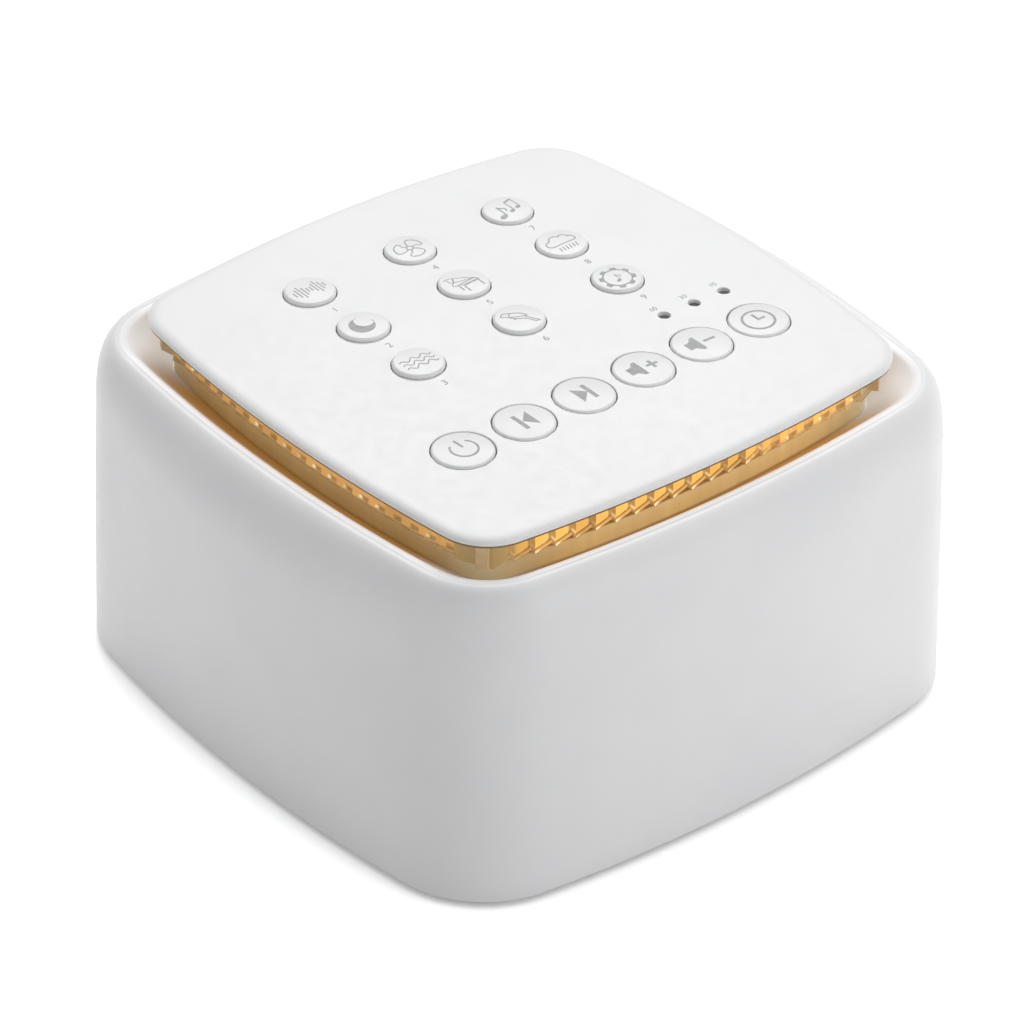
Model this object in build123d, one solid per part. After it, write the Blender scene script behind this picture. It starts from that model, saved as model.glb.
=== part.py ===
from build123d import *
from dataclasses import dataclass
from math import asin, atan2, cos, degrees, hypot, pi, sin, sqrt, tan
import os

# White noise sound machine: a square table unit with bowed sides. A domed button panel floats
# over a faceted light guide, which stands in a well inside the rim of the outer shell.
# Millimetres, +Z up. X runs along the row of six large keys, -Y faces the user, and the origin
# is on the table under the middle of the unit.

# ---- Outlines: half width at the middle of a side, bow radius of a side, corner radius ----
BASE_HALF, BASE_BOW, BASE_CORNER = 56.8, 263.0, 18.2
WALL_HALF, WALL_BOW, WALL_CORNER = 57.2, 179.0, 19.9
CREST_HALF, CREST_BOW, CREST_CORNER = 50.9, 298.0, 12.2
HOUSING_HALF, HOUSING_BOW, HOUSING_CORNER = 43.4, 229.0, 6.5
PANEL_HALF, PANEL_BOW, PANEL_CORNER = 46.9, 249.0, 9.4

# ---- Levels ----
FOOT_DROP = 1.2          # table to the shell's lower edge
SHELL_HEIGHT = 55.6      # lower edge to the crest of the rim
SHOULDER_RISE = 11.0     # end of the wall to the crest
WELL_DEPTH = 5.5         # crest down to the ledge that carries the inner housing
HOUSING_RISE = 3.5       # ledge up to the foot of the light guide
PANEL_RISE = 5.8         # crest up to the crown of the panel

# ---- Shell ----
SHELL_WALL = 2.4
RIM_LAND, RIM_RADIUS, RIM_WALL = 0.3, 1.8, 2.0
LEDGE_THICKNESS = 2.0
LEDGE_WIDTH = 5.1
SHELL_BOSS_RADIUS, BOSS_ROOT, BOSS_RIB = 3.4, 1.0, 1.6
SHOULDER_STEPS, RIM_STEPS = 9, 5     # sections along the shoulder and round the rim
EDGE_EASE = 0.4          # bevel along the shell's lower edge
FIT_GAP = 0.25           # clearance between mouldings that slip together
SEAT_GAP = 0.05          # clearance of a piece that sits tight in its seat

# ---- Base ----
PLATE_RECESS = 0.8       # shell's lower edge up to the underside of the base plate
PLATE_THICKNESS = 2.4
FOOT_RADIUS, FOOT_POCKET, FOOT_SPAN, FOOT_CHAMFER = 6.0, 0.8, 34.0, 0.5
GRILLE_SLOT, GRILLE_PITCH, GRILLE_RADIUS = 1.8, 4.0, 19.5

# ---- Inner housing ----
DECK_THICKNESS = 2.0
HOUSING_WALL = 2.0
SKIRT_DEPTH, SKIRT_WALL, SKIRT_CORNER = 5.5, 1.6, 6.0
HOUSING_BOSS_RADIUS, HOUSING_SCREW_ROOF = 2.1, 0.6

# ---- Light guide ----
GUIDE_SETBACK = 0.7      # roots of the teeth inside the housing's face, at the middle of a side
GUIDE_BOW = 300.0        # flatter than the housing, so that its corners reach further out
GUIDE_THICKNESS = 3.0    # root of a tooth to the inner face
TOOTH_DEPTH, TOOTH_COUNT = 1.1, 21
POST_WIDTH, POST_DEPTH = 2.4, 2.8
POST_PROUD = 0.4         # sharp corner of the roots out to the face of a post

# ---- Panel ----
DOME_RADIUS = 1364.0
PANEL_THICKNESS = 1.5
PANEL_EDGE_RADIUS = 1.05
PANEL_BOSS_RADIUS = 3.0

# ---- Keys ----
ROW_COUNT, ROW_PITCH, ROW_X, ROW_Y = 6, 12.0, 0.8, -22.1
GRID_COUNT, GRID_PITCH_X, GRID_PITCH_Y, GRID_X, GRID_Y = 3, 20.3, 13.8, 0.6, 14.4
ROW_KEY_RADIUS, GRID_KEY_RADIUS = 4.95, 4.19
ROW_KEY_PROUD, GRID_KEY_PROUD = 0.45, 0.8
KEY_GAP = 0.2
KEY_EDGE_RADIUS, KEY_DOME_RADIUS = 0.45, 42.0
KEY_WALL, KEY_CEILING = 0.9, 1.1
KEY_FLANGE_WIDTH, KEY_FLANGE_THICKNESS = 0.55, 0.7
KEY_TRAVEL = 0.5
KEY_POST_RADIUS = 1.9
ROW_NAMES = ("power", "previous", "next", "volume_up", "volume_down", "timer")

# ---- Timer lights ----
TIMER_COUNT, TIMER_PITCH, TIMER_X, TIMER_Y = 3, 6.25, 26.05, -12.05
PIPE_RADIUS, PIPE_SINK = 1.0, 0.7
PIPE_FLANGE_WIDTH, PIPE_FLANGE_THICKNESS = 0.6, 0.6

# ---- Control board ----
BOARD_THICKNESS, BOARD_STANDOFF = 1.2, 0.5
BOARD_GAP, BOARD_CORNER = 1.0, 3.0
SWITCH_WIDTH, SWITCH_HEIGHT, SWITCH_CORNER = 6.0, 2.2, 0.5
PLUNGER_RADIUS, PLUNGER_LENGTH, PLUNGER_PROUD, PLUNGER_GAP = 1.7, 1.5, 0.8, 0.1
PLUNGER_ROOM = 0.4       # foot of a fully pressed plunger to the floor of its well
LED_PER_SIDE, LED_LENGTH, LED_WIDTH, LED_HEIGHT = 6, 3.4, 1.2, 1.0
LED_SPAN, LED_EDGE = 27.5, 0.3   # middle of a side to its outermost light, light to board edge
CHIP_LENGTH, CHIP_WIDTH, CHIP_HEIGHT = 2.0, 1.25, 0.8
BOARD_SCREW_X, BOARD_SCREW_YS, BOARD_PAD_Y = 32.6, (2.0, 22.0), -18.0
PAD_RADIUS, PAD_ROOT = 2.3, 3.0

# ---- Screws: shank radius, head radius, head height ----
SHANK_RADIUS, HEAD_RADIUS, HEAD_HEIGHT = 1.1, 1.9, 1.4
SCREW_BITE = 4.5         # length of shank inside a boss
SCREW_PLAY = 0.35        # shank to the wall of a clearance hole
DRIVE_DEPTH, DRIVE_RADIUS = 0.7, 0.9

# ---- Speaker ----
SPEAKER_Y = -8.0
FLANGE_RADIUS, FLANGE_THICKNESS = 27.5, 1.0
GASKET_THICKNESS = 2.0
BASKET_DEPTH, BASKET_WALL = 11.0, 1.0
WINDOW_COUNT, WINDOW_WIDTH = 4, 22.0
MAGNET_RADIUS, MAGNET_BORE, MAGNET_HEIGHT = 15.0, 8.2, 6.0
YOKE_RADIUS, YOKE_THICKNESS, POLE_RADIUS = 14.0, 2.4, 5.4
COIL_RADIUS, COIL_WALL, COIL_LENGTH, COIL_GAP = 5.75, 0.6, 9.0, 0.35
CONE_RADIUS, CONE_WALL, CONE_DEPTH = 19.0, 0.5, 6.5
CAP_RADIUS, CAP_RISE = 8.0, 2.4
ROLL_RADIUS, ROLL_WALL, ROLL_LIP = 1.7, 0.4, 1.0
SPIDER_WAVE, SPIDER_WALL, SPIDER_FOLDS = 0.6, 0.4, 7
SHELF_RISE, SHELF_RADIUS, SHELF_WIDTH = 7.8, 16.5, 2.0
SPEAKER_SCREW_RADIUS, SPEAKER_SCREW_BITE = 25.5, 1.9

# ---- Main board and power inlet ----
MAIN_WIDTH, MAIN_FRONT, MAIN_THICKNESS = 58.0, 22.0, 1.6
MAIN_STANDOFF, STANDOFF_RADIUS = 4.6, 2.5
STANDOFF_INSET = 3.6     # board's edge in to the middle of a standoff
SOCKET_WIDTH, SOCKET_HEIGHT, SOCKET_WALL = 8.94, 3.26, 0.3
SOCKET_SET_IN = 0.5      # shell's face in to the mouth of the socket
SOCKET_LENGTH, SOCKET_BACK = 7.3, 1.2
TONGUE_WIDTH, TONGUE_THICKNESS, TONGUE_SET_IN = 6.7, 0.7, 0.9
RIBBON_X, RIBBON_Y, RIBBON_WIDTH, RIBBON_THICKNESS = -9.5, 33.0, 14.0, 0.9
RIBBON_PLUG_HEIGHT, RIBBON_PLUG_THICKNESS = 3.0, 2.6
RIBBON_JOG, RIBBON_BEND, RIBBON_MARGIN = 3.0, 4.0, 0.9

# ---- Worked out from the above ----
SHELL_Z = FOOT_DROP
CREST_Z = SHELL_Z + SHELL_HEIGHT
WALL_Z = CREST_Z - SHOULDER_RISE
LEDGE_Z = CREST_Z - WELL_DEPTH
LEDGE_UNDER_Z = LEDGE_Z - LEDGE_THICKNESS
DECK_Z = LEDGE_Z + HOUSING_RISE
DECK_UNDER_Z = DECK_Z - DECK_THICKNESS
CROWN_Z = CREST_Z + PANEL_RISE
PLATE_UNDER_Z = SHELL_Z + PLATE_RECESS
PLATE_Z = PLATE_UNDER_Z + PLATE_THICKNESS
BOARD_UNDER_Z = DECK_Z + BOARD_STANDOFF
BOARD_Z = BOARD_UNDER_Z + BOARD_THICKNESS
SWITCH_Z = BOARD_Z + SWITCH_HEIGHT
PRESS_Z = SWITCH_Z + PLUNGER_PROUD
MAIN_UNDER_Z = PLATE_Z + MAIN_STANDOFF
MAIN_Z = MAIN_UNDER_Z + MAIN_THICKNESS
SOCKET_Z = MAIN_Z + SOCKET_HEIGHT / 2
FLANGE_Z = PLATE_Z + GASKET_THICKNESS
BASKET_TOP_Z = FLANGE_Z + BASKET_DEPTH
ROLL_OUTER = CONE_RADIUS + 2 * ROLL_RADIUS
CONE_NECK = COIL_RADIUS + COIL_WALL + SEAT_GAP
PILOT_RADIUS = SHANK_RADIUS + SEAT_GAP
CLEARANCE_RADIUS = SHANK_RADIUS + SCREW_PLAY
SQUARE = [(1, 1), (-1, 1), (-1, -1), (1, -1)]
BOTTOM = (Align.CENTER, Align.CENTER, Align.MIN)
TOP = (Align.CENTER, Align.CENTER, Align.MAX)


@dataclass(frozen=True)
class Outline:
    """A square with bowed sides and rounded corners, seen from above."""

    half: float
    bow: float
    corner: float

    def inset(self, gap):
        """The parallel outline that lies a gap inside this one."""
        return Outline(self.half - gap, self.bow - gap, self.corner - gap)

    def toward(self, other, share):
        """The outline that is a share of the way from this one to another."""
        mix = [a + (b - a) * share for a, b in zip(self.values(), other.values())]
        return Outline(*mix)

    def values(self):
        return self.half, self.bow, self.corner

    def corner_centre(self):
        """X and Y of the centre of the corner arc, on the diagonal."""
        centre = self.half - self.bow
        reach = self.bow - self.corner
        return (centre + sqrt(2 * reach**2 - centre**2)) / 2

    def diagonal(self):
        """Distance from the middle to the outline, along the diagonal."""
        return self.corner_centre() * sqrt(2) + self.corner

    def face(self, z=0.0):
        """The outline as a flat face at a height."""
        middle = self.corner_centre()
        centre = self.half - self.bow
        turn = atan2(middle, middle - centre)
        low = (centre + self.bow * cos(turn), -self.bow * sin(turn))
        high = (low[0], -low[1])
        bulge = middle + self.corner / sqrt(2)
        edges = []
        for quarter in range(4):
            spin = Rot(0, 0, 90 * quarter)
            edges.append(spin * ThreePointArc(low, (self.half, 0), high))
            edges.append(spin * ThreePointArc(high, (bulge, bulge), (high[1], high[0])))
        return Pos(0, 0, z) * make_face(Wire([arc.edge() for arc in edges]))

    def block(self, low, high):
        """The outline as an upright solid between two heights."""
        return extrude(self.face(low), high - low)


BASE = Outline(BASE_HALF, BASE_BOW, BASE_CORNER)
WALL = Outline(WALL_HALF, WALL_BOW, WALL_CORNER)
CREST = Outline(CREST_HALF, CREST_BOW, CREST_CORNER)
HOUSING = Outline(HOUSING_HALF, HOUSING_BOW, HOUSING_CORNER)
PANEL = Outline(PANEL_HALF, PANEL_BOW, PANEL_CORNER)
WELL_FLOOR = HOUSING.inset(-FIT_GAP)
LEDGE_MOUTH = Outline(HOUSING_HALF - LEDGE_WIDTH, HOUSING_BOW - LEDGE_WIDTH, SKIRT_CORNER)
SKIRT = LEDGE_MOUTH.inset(FIT_GAP)
GUIDE_ROOT = Outline(HOUSING_HALF - GUIDE_SETBACK, GUIDE_BOW, 0)
GUIDE_INNER = Outline(GUIDE_ROOT.half - GUIDE_THICKNESS, GUIDE_BOW, BOARD_CORNER)
BOARD = GUIDE_INNER.inset(BOARD_GAP)
PLATE = BASE.inset(SHELL_WALL + FIT_GAP)

HOUSING_SCREW_SPAN = (LEDGE_MOUTH.diagonal() + HOUSING.diagonal()) / sqrt(8)
PANEL_SCREW_SPAN = (SKIRT.diagonal() - SKIRT_WALL - HEAD_RADIUS - FIT_GAP) / sqrt(2)
BASE_SCREW_SPAN = (BASE.diagonal() - SHELL_WALL - SHELL_BOSS_RADIUS + FIT_GAP) / sqrt(2)


def corners(span):
    """The four places at plus and minus a span on both axes."""
    return [(x * span, y * span) for x, y in SQUARE]


def posts(places, radius, low, high):
    """Upright round posts, as one group."""
    return [Pos(x, y, low) * Cylinder(radius, high - low, align=BOTTOM) for x, y in places]


def save(name, shape):
    """Writes one node, which may be a group of separate solids."""
    solids = shape.solids() if hasattr(shape, "solids") else ShapeList(shape)
    group = solids[0] if len(solids) == 1 else Compound(children=list(solids))
    group.label = name
    export_step(group, f"parts/{name}.step")


def dome(depth):
    """Ball whose top is the panel's outer face, sunk by a depth, with its poles to the sides."""
    ball = Rot(90, 0, 0) * Sphere(DOME_RADIUS - depth)
    return Pos(0, 0, CROWN_Z - DOME_RADIUS) * ball


def dome_z(x, y, depth=0.0):
    """Height of the panel's outer face at a place, or of the ball a depth below it."""
    return CROWN_Z - DOME_RADIUS + sqrt((DOME_RADIUS - depth) ** 2 - x**2 - y**2)


def pilot(x, y, low, high):
    """Cutter for a screw's pilot hole."""
    return Pos(x, y, low) * Cylinder(PILOT_RADIUS, high - low, align=BOTTOM)


def clearance(x, y, low, high):
    """Cutter for a hole that a screw's shank passes with play."""
    return Pos(x, y, low) * Cylinder(CLEARANCE_RADIUS, high - low, align=BOTTOM)


def screw(x, y, seat, reach):
    """Cross-head screw with its head under the seat and its shank up, or the reverse if reach < 0."""
    head = Cylinder(HEAD_RADIUS, HEAD_HEIGHT, align=TOP)
    for width, depth in ((DRIVE_RADIUS * 2, DRIVE_RADIUS / 2), (DRIVE_RADIUS / 2, DRIVE_RADIUS * 2)):
        head -= Pos(0, 0, -HEAD_HEIGHT) * Box(width, depth, DRIVE_DEPTH, align=BOTTOM)
    body = head + Cylinder(SHANK_RADIUS, abs(reach), align=BOTTOM)
    flip = Rot(180, 0, 0) if reach < 0 else Rot(0, 0, 0)
    return Pos(x, y, seat) * flip * body


# ---- Outer shell ----
def rim_slope():
    """Angle of the well's side below level, tangent to the rim's rounding."""
    run = CREST.half - RIM_LAND - WELL_FLOOR.half
    drop = CREST_Z - RIM_RADIUS - LEDGE_Z
    return atan2(drop, run) + asin(RIM_RADIUS / hypot(run, drop))


def well_outline(half):
    """Outline of the well where its half width has a given value."""
    return CREST.toward(WELL_FLOOR, (CREST.half - half) / (CREST.half - WELL_FLOOR.half))


def shoulder(foot, crest, rise):
    """Solid under a quarter-elliptical shoulder that runs up and in from the wall to the crest."""
    turns = [pi / 2 * step / SHOULDER_STEPS for step in range(SHOULDER_STEPS + 1)]
    return loft([crest.toward(foot, cos(turn)).face(WALL_Z + rise * sin(turn)) for turn in turns], ruled=True)


def well_cutter():
    """The funnel-shaped well, with a rounded rim."""
    slope = rim_slope()
    sections = []
    for step in range(RIM_STEPS + 1):
        turn = slope * step / RIM_STEPS
        half = CREST.half - RIM_LAND - RIM_RADIUS * sin(turn)
        sections.append(well_outline(half).face(CREST_Z - RIM_RADIUS * (1 - cos(turn))))
    rim = loft(sections, ruled=True)
    funnel = loft([sections[-1], WELL_FLOOR.face(LEDGE_Z)], ruled=True)
    return rim + funnel + LEDGE_MOUTH.block(LEDGE_UNDER_Z, LEDGE_Z)


def well_backing():
    """Everything inside the underside of the well's wall."""
    slope = rim_slope()
    low = WELL_FLOOR.half + RIM_WALL * sin(slope)
    low_z = LEDGE_Z - RIM_WALL * cos(slope)
    halves = [low + (z - low_z) / tan(slope) for z in (LEDGE_UNDER_Z, CREST_Z)]
    low_face, high_face = [well_outline(half).face(z) for half, z in zip(halves, (LEDGE_UNDER_Z, CREST_Z))]
    return loft([low_face, high_face], ruled=True)


def wall_half(z):
    """Half width of the shell's outside at a height on its wall."""
    return BASE.toward(WALL, (z - SHELL_Z) / (WALL_Z - SHELL_Z)).half


def boss_ribs():
    """Upright ribs that tie the corner bosses to the wall, out to the middle of its thickness."""
    outlines = [outline.inset(SHELL_WALL / 2) for outline in (BASE, WALL)]
    room = loft([outlines[0].face(SHELL_Z), outlines[1].face(WALL_Z)], ruled=True)
    reach = max(outline.diagonal() for outline in outlines)
    bar = Box(reach, BOSS_RIB, WALL_Z - PLATE_Z, align=(Align.MIN, Align.CENTER, Align.MIN))
    start = BASE_SCREW_SPAN * sqrt(2)
    clear = Cylinder(start, WALL_Z - PLATE_Z, align=BOTTOM)
    return [Pos(0, 0, PLATE_Z) * Rot(0, 0, 45 + 90 * turn) * (bar - clear) & room for turn in range(4)]


def outer_shell():
    """Shell with its rim and well, screw bosses in the corners and the opening for the inlet."""
    eased = BASE.inset(EDGE_EASE).face(SHELL_Z)
    body = loft([eased, BASE.face(SHELL_Z + EDGE_EASE), WALL.face(WALL_Z)], ruled=True)
    body += shoulder(WALL, CREST, SHOULDER_RISE)
    hollow = loft([BASE.inset(SHELL_WALL).face(SHELL_Z), WALL.inset(SHELL_WALL).face(WALL_Z)], ruled=True)
    hollow += shoulder(WALL.inset(SHELL_WALL), CREST, SHOULDER_RISE - SHELL_WALL)
    body -= hollow - well_backing()
    for boss in posts(corners(BASE_SCREW_SPAN), SHELL_BOSS_RADIUS, PLATE_Z, LEDGE_UNDER_Z + BOSS_ROOT):
        body += boss
    for rib in boss_ribs():
        body += rib
    body -= well_cutter()
    for x, y in corners(BASE_SCREW_SPAN):
        body -= pilot(x, y, PLATE_Z, PLATE_Z + SCREW_BITE + FIT_GAP)
    for x, y in corners(HOUSING_SCREW_SPAN):
        head_room = Cylinder(HEAD_RADIUS + FIT_GAP, HEAD_HEIGHT + FIT_GAP, align=TOP)
        body -= Pos(x, y, LEDGE_UNDER_Z) * head_room
        body -= clearance(x, y, LEDGE_UNDER_Z, LEDGE_Z)
    mouth = SlotOverall(SOCKET_WIDTH + 2 * FIT_GAP, SOCKET_HEIGHT + 2 * FIT_GAP)
    middle = Plane(origin=(0, wall_half(SOCKET_Z) + FIT_GAP, SOCKET_Z), z_dir=(0, -1, 0), x_dir=(1, 0, 0))
    return body - extrude(middle * mouth, 2 * SHELL_WALL)


# ---- Base ----
def foot_places():
    return corners(FOOT_SPAN)


def standoff_places():
    """Places of the main board's four standoffs."""
    back = PLATE.half - BOARD_GAP - STANDOFF_INSET
    across = MAIN_WIDTH / 2 - STANDOFF_INSET
    return [(x * across, y) for x in (-1, 1) for y in (MAIN_FRONT + STANDOFF_INSET, back)]


def speaker_screw_places():
    """Four places on the speaker's flange, on its diagonals."""
    across = SPEAKER_SCREW_RADIUS / sqrt(2)
    return [(x * across, SPEAKER_Y + y * across) for x, y in SQUARE]


def base_plate():
    """Base plate with foot pockets, counterbored corners, a slotted grille and board standoffs."""
    plate = PLATE.block(PLATE_UNDER_Z, PLATE_Z)
    for x, y in foot_places():
        plate -= Pos(x, y, PLATE_UNDER_Z) * Cylinder(FOOT_RADIUS + FIT_GAP, FOOT_POCKET, align=BOTTOM)
    for x, y in corners(BASE_SCREW_SPAN):
        plate -= Pos(x, y, PLATE_UNDER_Z) * Cylinder(HEAD_RADIUS + FIT_GAP, HEAD_HEIGHT, align=BOTTOM)
        plate -= clearance(x, y, PLATE_UNDER_Z, PLATE_Z)
    rows = int(GRILLE_RADIUS / GRILLE_PITCH)
    for row in range(-rows, rows + 1):
        offset = row * GRILLE_PITCH
        length = 2 * sqrt(GRILLE_RADIUS**2 - offset**2)
        slot = Pos(0, SPEAKER_Y + offset, PLATE_UNDER_Z) * SlotOverall(length, GRILLE_SLOT)
        plate -= extrude(slot, PLATE_THICKNESS)
    for post in posts(standoff_places(), STANDOFF_RADIUS, PLATE_Z, MAIN_UNDER_Z):
        plate += post
    for x, y in standoff_places():
        plate -= pilot(x, y, MAIN_UNDER_Z - SCREW_BITE, MAIN_UNDER_Z)
    for x, y in speaker_screw_places():
        plate -= pilot(x, y, PLATE_Z - SPEAKER_SCREW_BITE, PLATE_Z)
    return plate


def rubber_feet():
    """Four rubber feet, set into their pockets and eased at the table."""
    feet = []
    for x, y in foot_places():
        foot = Cylinder(FOOT_RADIUS, PLATE_UNDER_Z + FOOT_POCKET, align=BOTTOM)
        rim = foot.edges().filter_by(GeomType.CIRCLE).sort_by(Axis.Z)[0]
        feet.append(Pos(x, y, 0) * chamfer(rim, FOOT_CHAMFER))
    return feet


def base_screws():
    """Screws up through the base plate's corners into the shell's bosses."""
    seat = PLATE_UNDER_Z + HEAD_HEIGHT
    return [screw(x, y, seat, PLATE_Z + SCREW_BITE - seat) for x, y in corners(BASE_SCREW_SPAN)]


# ---- Inner housing ----
def board_screw_places():
    return [(x * BOARD_SCREW_X, y) for x in (-1, 1) for y in BOARD_SCREW_YS]


def inner_housing():
    """White tray that stands on the ledge: rim wall, deck, locating skirt, pads and bosses."""
    tray = HOUSING.block(LEDGE_Z, DECK_Z) - HOUSING.inset(HOUSING_WALL).block(LEDGE_Z, DECK_UNDER_Z)
    skirt_low = DECK_UNDER_Z - SKIRT_DEPTH
    tray += SKIRT.block(skirt_low, DECK_UNDER_Z) - SKIRT.inset(SKIRT_WALL).block(skirt_low, DECK_UNDER_Z)
    pads = board_screw_places() + [(x * BOARD_SCREW_X, BOARD_PAD_Y) for x in (-1, 1)]
    for post in posts(pads, PAD_RADIUS, DECK_UNDER_Z - PAD_ROOT, BOARD_UNDER_Z):
        tray += post
    for boss in posts(corners(HOUSING_SCREW_SPAN), HOUSING_BOSS_RADIUS, LEDGE_Z, DECK_Z):
        tray += boss
    for x, y in corners(HOUSING_SCREW_SPAN):
        tray -= pilot(x, y, LEDGE_Z, DECK_Z - HOUSING_SCREW_ROOF)
    for x, y in corners(PANEL_SCREW_SPAN):
        tray -= clearance(x, y, DECK_UNDER_Z, DECK_Z)
    for x, y in board_screw_places():
        tray -= pilot(x, y, BOARD_UNDER_Z - SCREW_BITE, BOARD_UNDER_Z)
    slot_size = (RIBBON_WIDTH + 2 * BOARD_GAP, RIBBON_PLUG_THICKNESS + 2 * BOARD_GAP, DECK_THICKNESS)
    return tray - Pos(RIBBON_X, RIBBON_Y, DECK_UNDER_Z) * Box(*slot_size, align=BOTTOM)


def housing_screws():
    """Screws up through the shell's ledge into the inner housing's corner bosses."""
    reach = DECK_Z - HOUSING_SCREW_ROOF - FIT_GAP - LEDGE_UNDER_Z
    return [screw(x, y, LEDGE_UNDER_Z, reach) for x, y in corners(HOUSING_SCREW_SPAN)]


# ---- Light guide ----
def toothed_side():
    """Corners of one toothed side along -Y, from -X to +X, as saw teeth on the bowed root line."""
    centre_y = GUIDE_BOW - GUIDE_ROOT.half
    end = GUIDE_ROOT.corner_centre() - POST_WIDTH / 2
    sweep_angle = asin(end / GUIDE_BOW)
    pitch = 2 * sweep_angle / TOOTH_COUNT
    points = []
    for tooth in range(TOOTH_COUNT):
        start = -sweep_angle + tooth * pitch
        for angle, reach in ((start, TOOTH_DEPTH), (start + pitch, 0)):
            radius = GUIDE_BOW + reach
            points.append((radius * sin(angle), centre_y - radius * cos(angle)))
    return points


def light_guide():
    """Clear ring of saw-toothed prisms with a post at each corner, topped by the panel's curve."""
    loop = []
    for quarter in range(4):
        turn = pi / 2 * quarter
        for x, y in toothed_side():
            loop.append((x * cos(turn) - y * sin(turn), x * sin(turn) + y * cos(turn)))
    height = CROWN_Z - DECK_Z
    ring = Pos(0, 0, DECK_Z) * extrude(make_face(Polyline(*loop, close=True)), height)
    ring -= GUIDE_INNER.block(DECK_Z, CROWN_Z)
    post = Box(POST_DEPTH, POST_WIDTH, height, align=(Align.MAX, Align.CENTER, Align.MIN))
    for turn in range(4):
        ring += Rot(0, 0, 45 + 90 * turn) * Pos(GUIDE_ROOT.diagonal() + POST_PROUD, 0, DECK_Z) * post
    return ring & dome(PANEL_THICKNESS + SEAT_GAP)


# ---- Panel ----
@dataclass(frozen=True)
class Key:
    """A push key: what it does, where it stands, its radius and how far it stands proud."""

    name: str
    x: float
    y: float
    radius: float
    proud: float


def keys():
    """The row of six large keys and the square of nine small ones."""
    found = []
    for place, name in enumerate(ROW_NAMES):
        x = ROW_X + (place - (ROW_COUNT - 1) / 2) * ROW_PITCH
        found.append(Key(name, x, ROW_Y, ROW_KEY_RADIUS, ROW_KEY_PROUD))
    for column in range(GRID_COUNT):
        for row in range(GRID_COUNT):
            x = GRID_X + (column - (GRID_COUNT - 1) / 2) * GRID_PITCH_X
            y = GRID_Y - (row - (GRID_COUNT - 1) / 2) * GRID_PITCH_Y
            name = f"sound_{column * GRID_COUNT + row + 1}"
            found.append(Key(name, x, y, GRID_KEY_RADIUS, GRID_KEY_PROUD))
    return found


def timer_places():
    """Places of the timer's three small lights."""
    return [(TIMER_X + (n - (TIMER_COUNT - 1) / 2) * TIMER_PITCH, TIMER_Y) for n in range(TIMER_COUNT)]


def top_panel():
    """Domed panel with a rounded edge, holes for keys and lights, and four screw bosses."""
    panel = (PANEL.block(DECK_Z, CROWN_Z + PANEL_THICKNESS) & dome(0)) - dome(PANEL_THICKNESS)
    outer = panel.faces().filter_by(GeomType.SPHERE).sort_by(Axis.Z)[-1]
    panel = fillet(outer.outer_wire().edges(), PANEL_EDGE_RADIUS)
    for key in keys():
        panel -= Pos(key.x, key.y, DECK_Z) * Cylinder(key.radius + KEY_GAP, CROWN_Z, align=BOTTOM)
    for x, y in timer_places():
        panel -= Pos(x, y, DECK_Z) * Cylinder(PIPE_RADIUS + SEAT_GAP, CROWN_Z, align=BOTTOM)
    root = dome_z(PANEL_SCREW_SPAN, PANEL_SCREW_SPAN, PANEL_THICKNESS / 2)
    for boss in posts(corners(PANEL_SCREW_SPAN), PANEL_BOSS_RADIUS, DECK_Z, root):
        panel += boss
    for x, y in corners(PANEL_SCREW_SPAN):
        panel -= pilot(x, y, DECK_Z, DECK_Z + SCREW_BITE + FIT_GAP)
    return panel


def panel_screws():
    """Screws up through the deck into the panel's bosses."""
    reach = DECK_THICKNESS + SCREW_BITE
    return [screw(x, y, DECK_UNDER_Z, reach) for x, y in corners(PANEL_SCREW_SPAN)]


def keycap(key):
    """Hollow keycap with a domed face, an eased edge, a retaining flange and a pressing post."""
    top = dome_z(key.x, key.y) + key.proud
    sag = KEY_DOME_RADIUS - sqrt(KEY_DOME_RADIUS**2 - key.radius**2)
    half_sag = KEY_DOME_RADIUS - sqrt(KEY_DOME_RADIUS**2 - (key.radius / 2) ** 2)
    skirt = key.radius + KEY_FLANGE_WIDTH
    bore = key.radius - KEY_WALL
    flange_z = PRESS_Z + KEY_FLANGE_THICKNESS
    ceiling = top - KEY_CEILING
    face = ThreePointArc((0, 0, top), (key.radius / 2, 0, top - half_sag), (key.radius, 0, top - sag))
    side = Polyline(
        (key.radius, 0, top - sag), (key.radius, 0, flange_z), (skirt, 0, flange_z), (skirt, 0, PRESS_Z),
        (bore, 0, PRESS_Z), (bore, 0, ceiling), (KEY_POST_RADIUS, 0, ceiling), (KEY_POST_RADIUS, 0, PRESS_Z),
        (0, 0, PRESS_Z), (0, 0, top),
    )
    profile = make_face(Wire([face.edge(), *side.edges()]))
    rim = profile.vertices().sort_by_distance((key.radius, 0, top - sag))[0]
    return Pos(key.x, key.y, 0) * revolve(fillet(rim, KEY_EDGE_RADIUS), Axis.Z)


def plunger(key):
    """Plunger of the switch under a key."""
    return Pos(key.x, key.y, PRESS_Z) * Cylinder(PLUNGER_RADIUS, PLUNGER_LENGTH, align=TOP)


def light_pipes():
    """Short pipes from the timer's light chips up into the panel, each with a flange under it."""
    pipes = []
    low = BOARD_Z + CHIP_HEIGHT
    for x, y in timer_places():
        pipe = Pos(x, y, low) * Cylinder(PIPE_RADIUS, dome_z(x, y) - PIPE_SINK - low, align=BOTTOM)
        collar = Cylinder(PIPE_RADIUS + PIPE_FLANGE_WIDTH, PIPE_FLANGE_THICKNESS, align=TOP)
        pipes.append(pipe + Pos(x, y, dome_z(x, y, PANEL_THICKNESS) - FIT_GAP) * collar)
    return pipes


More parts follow.
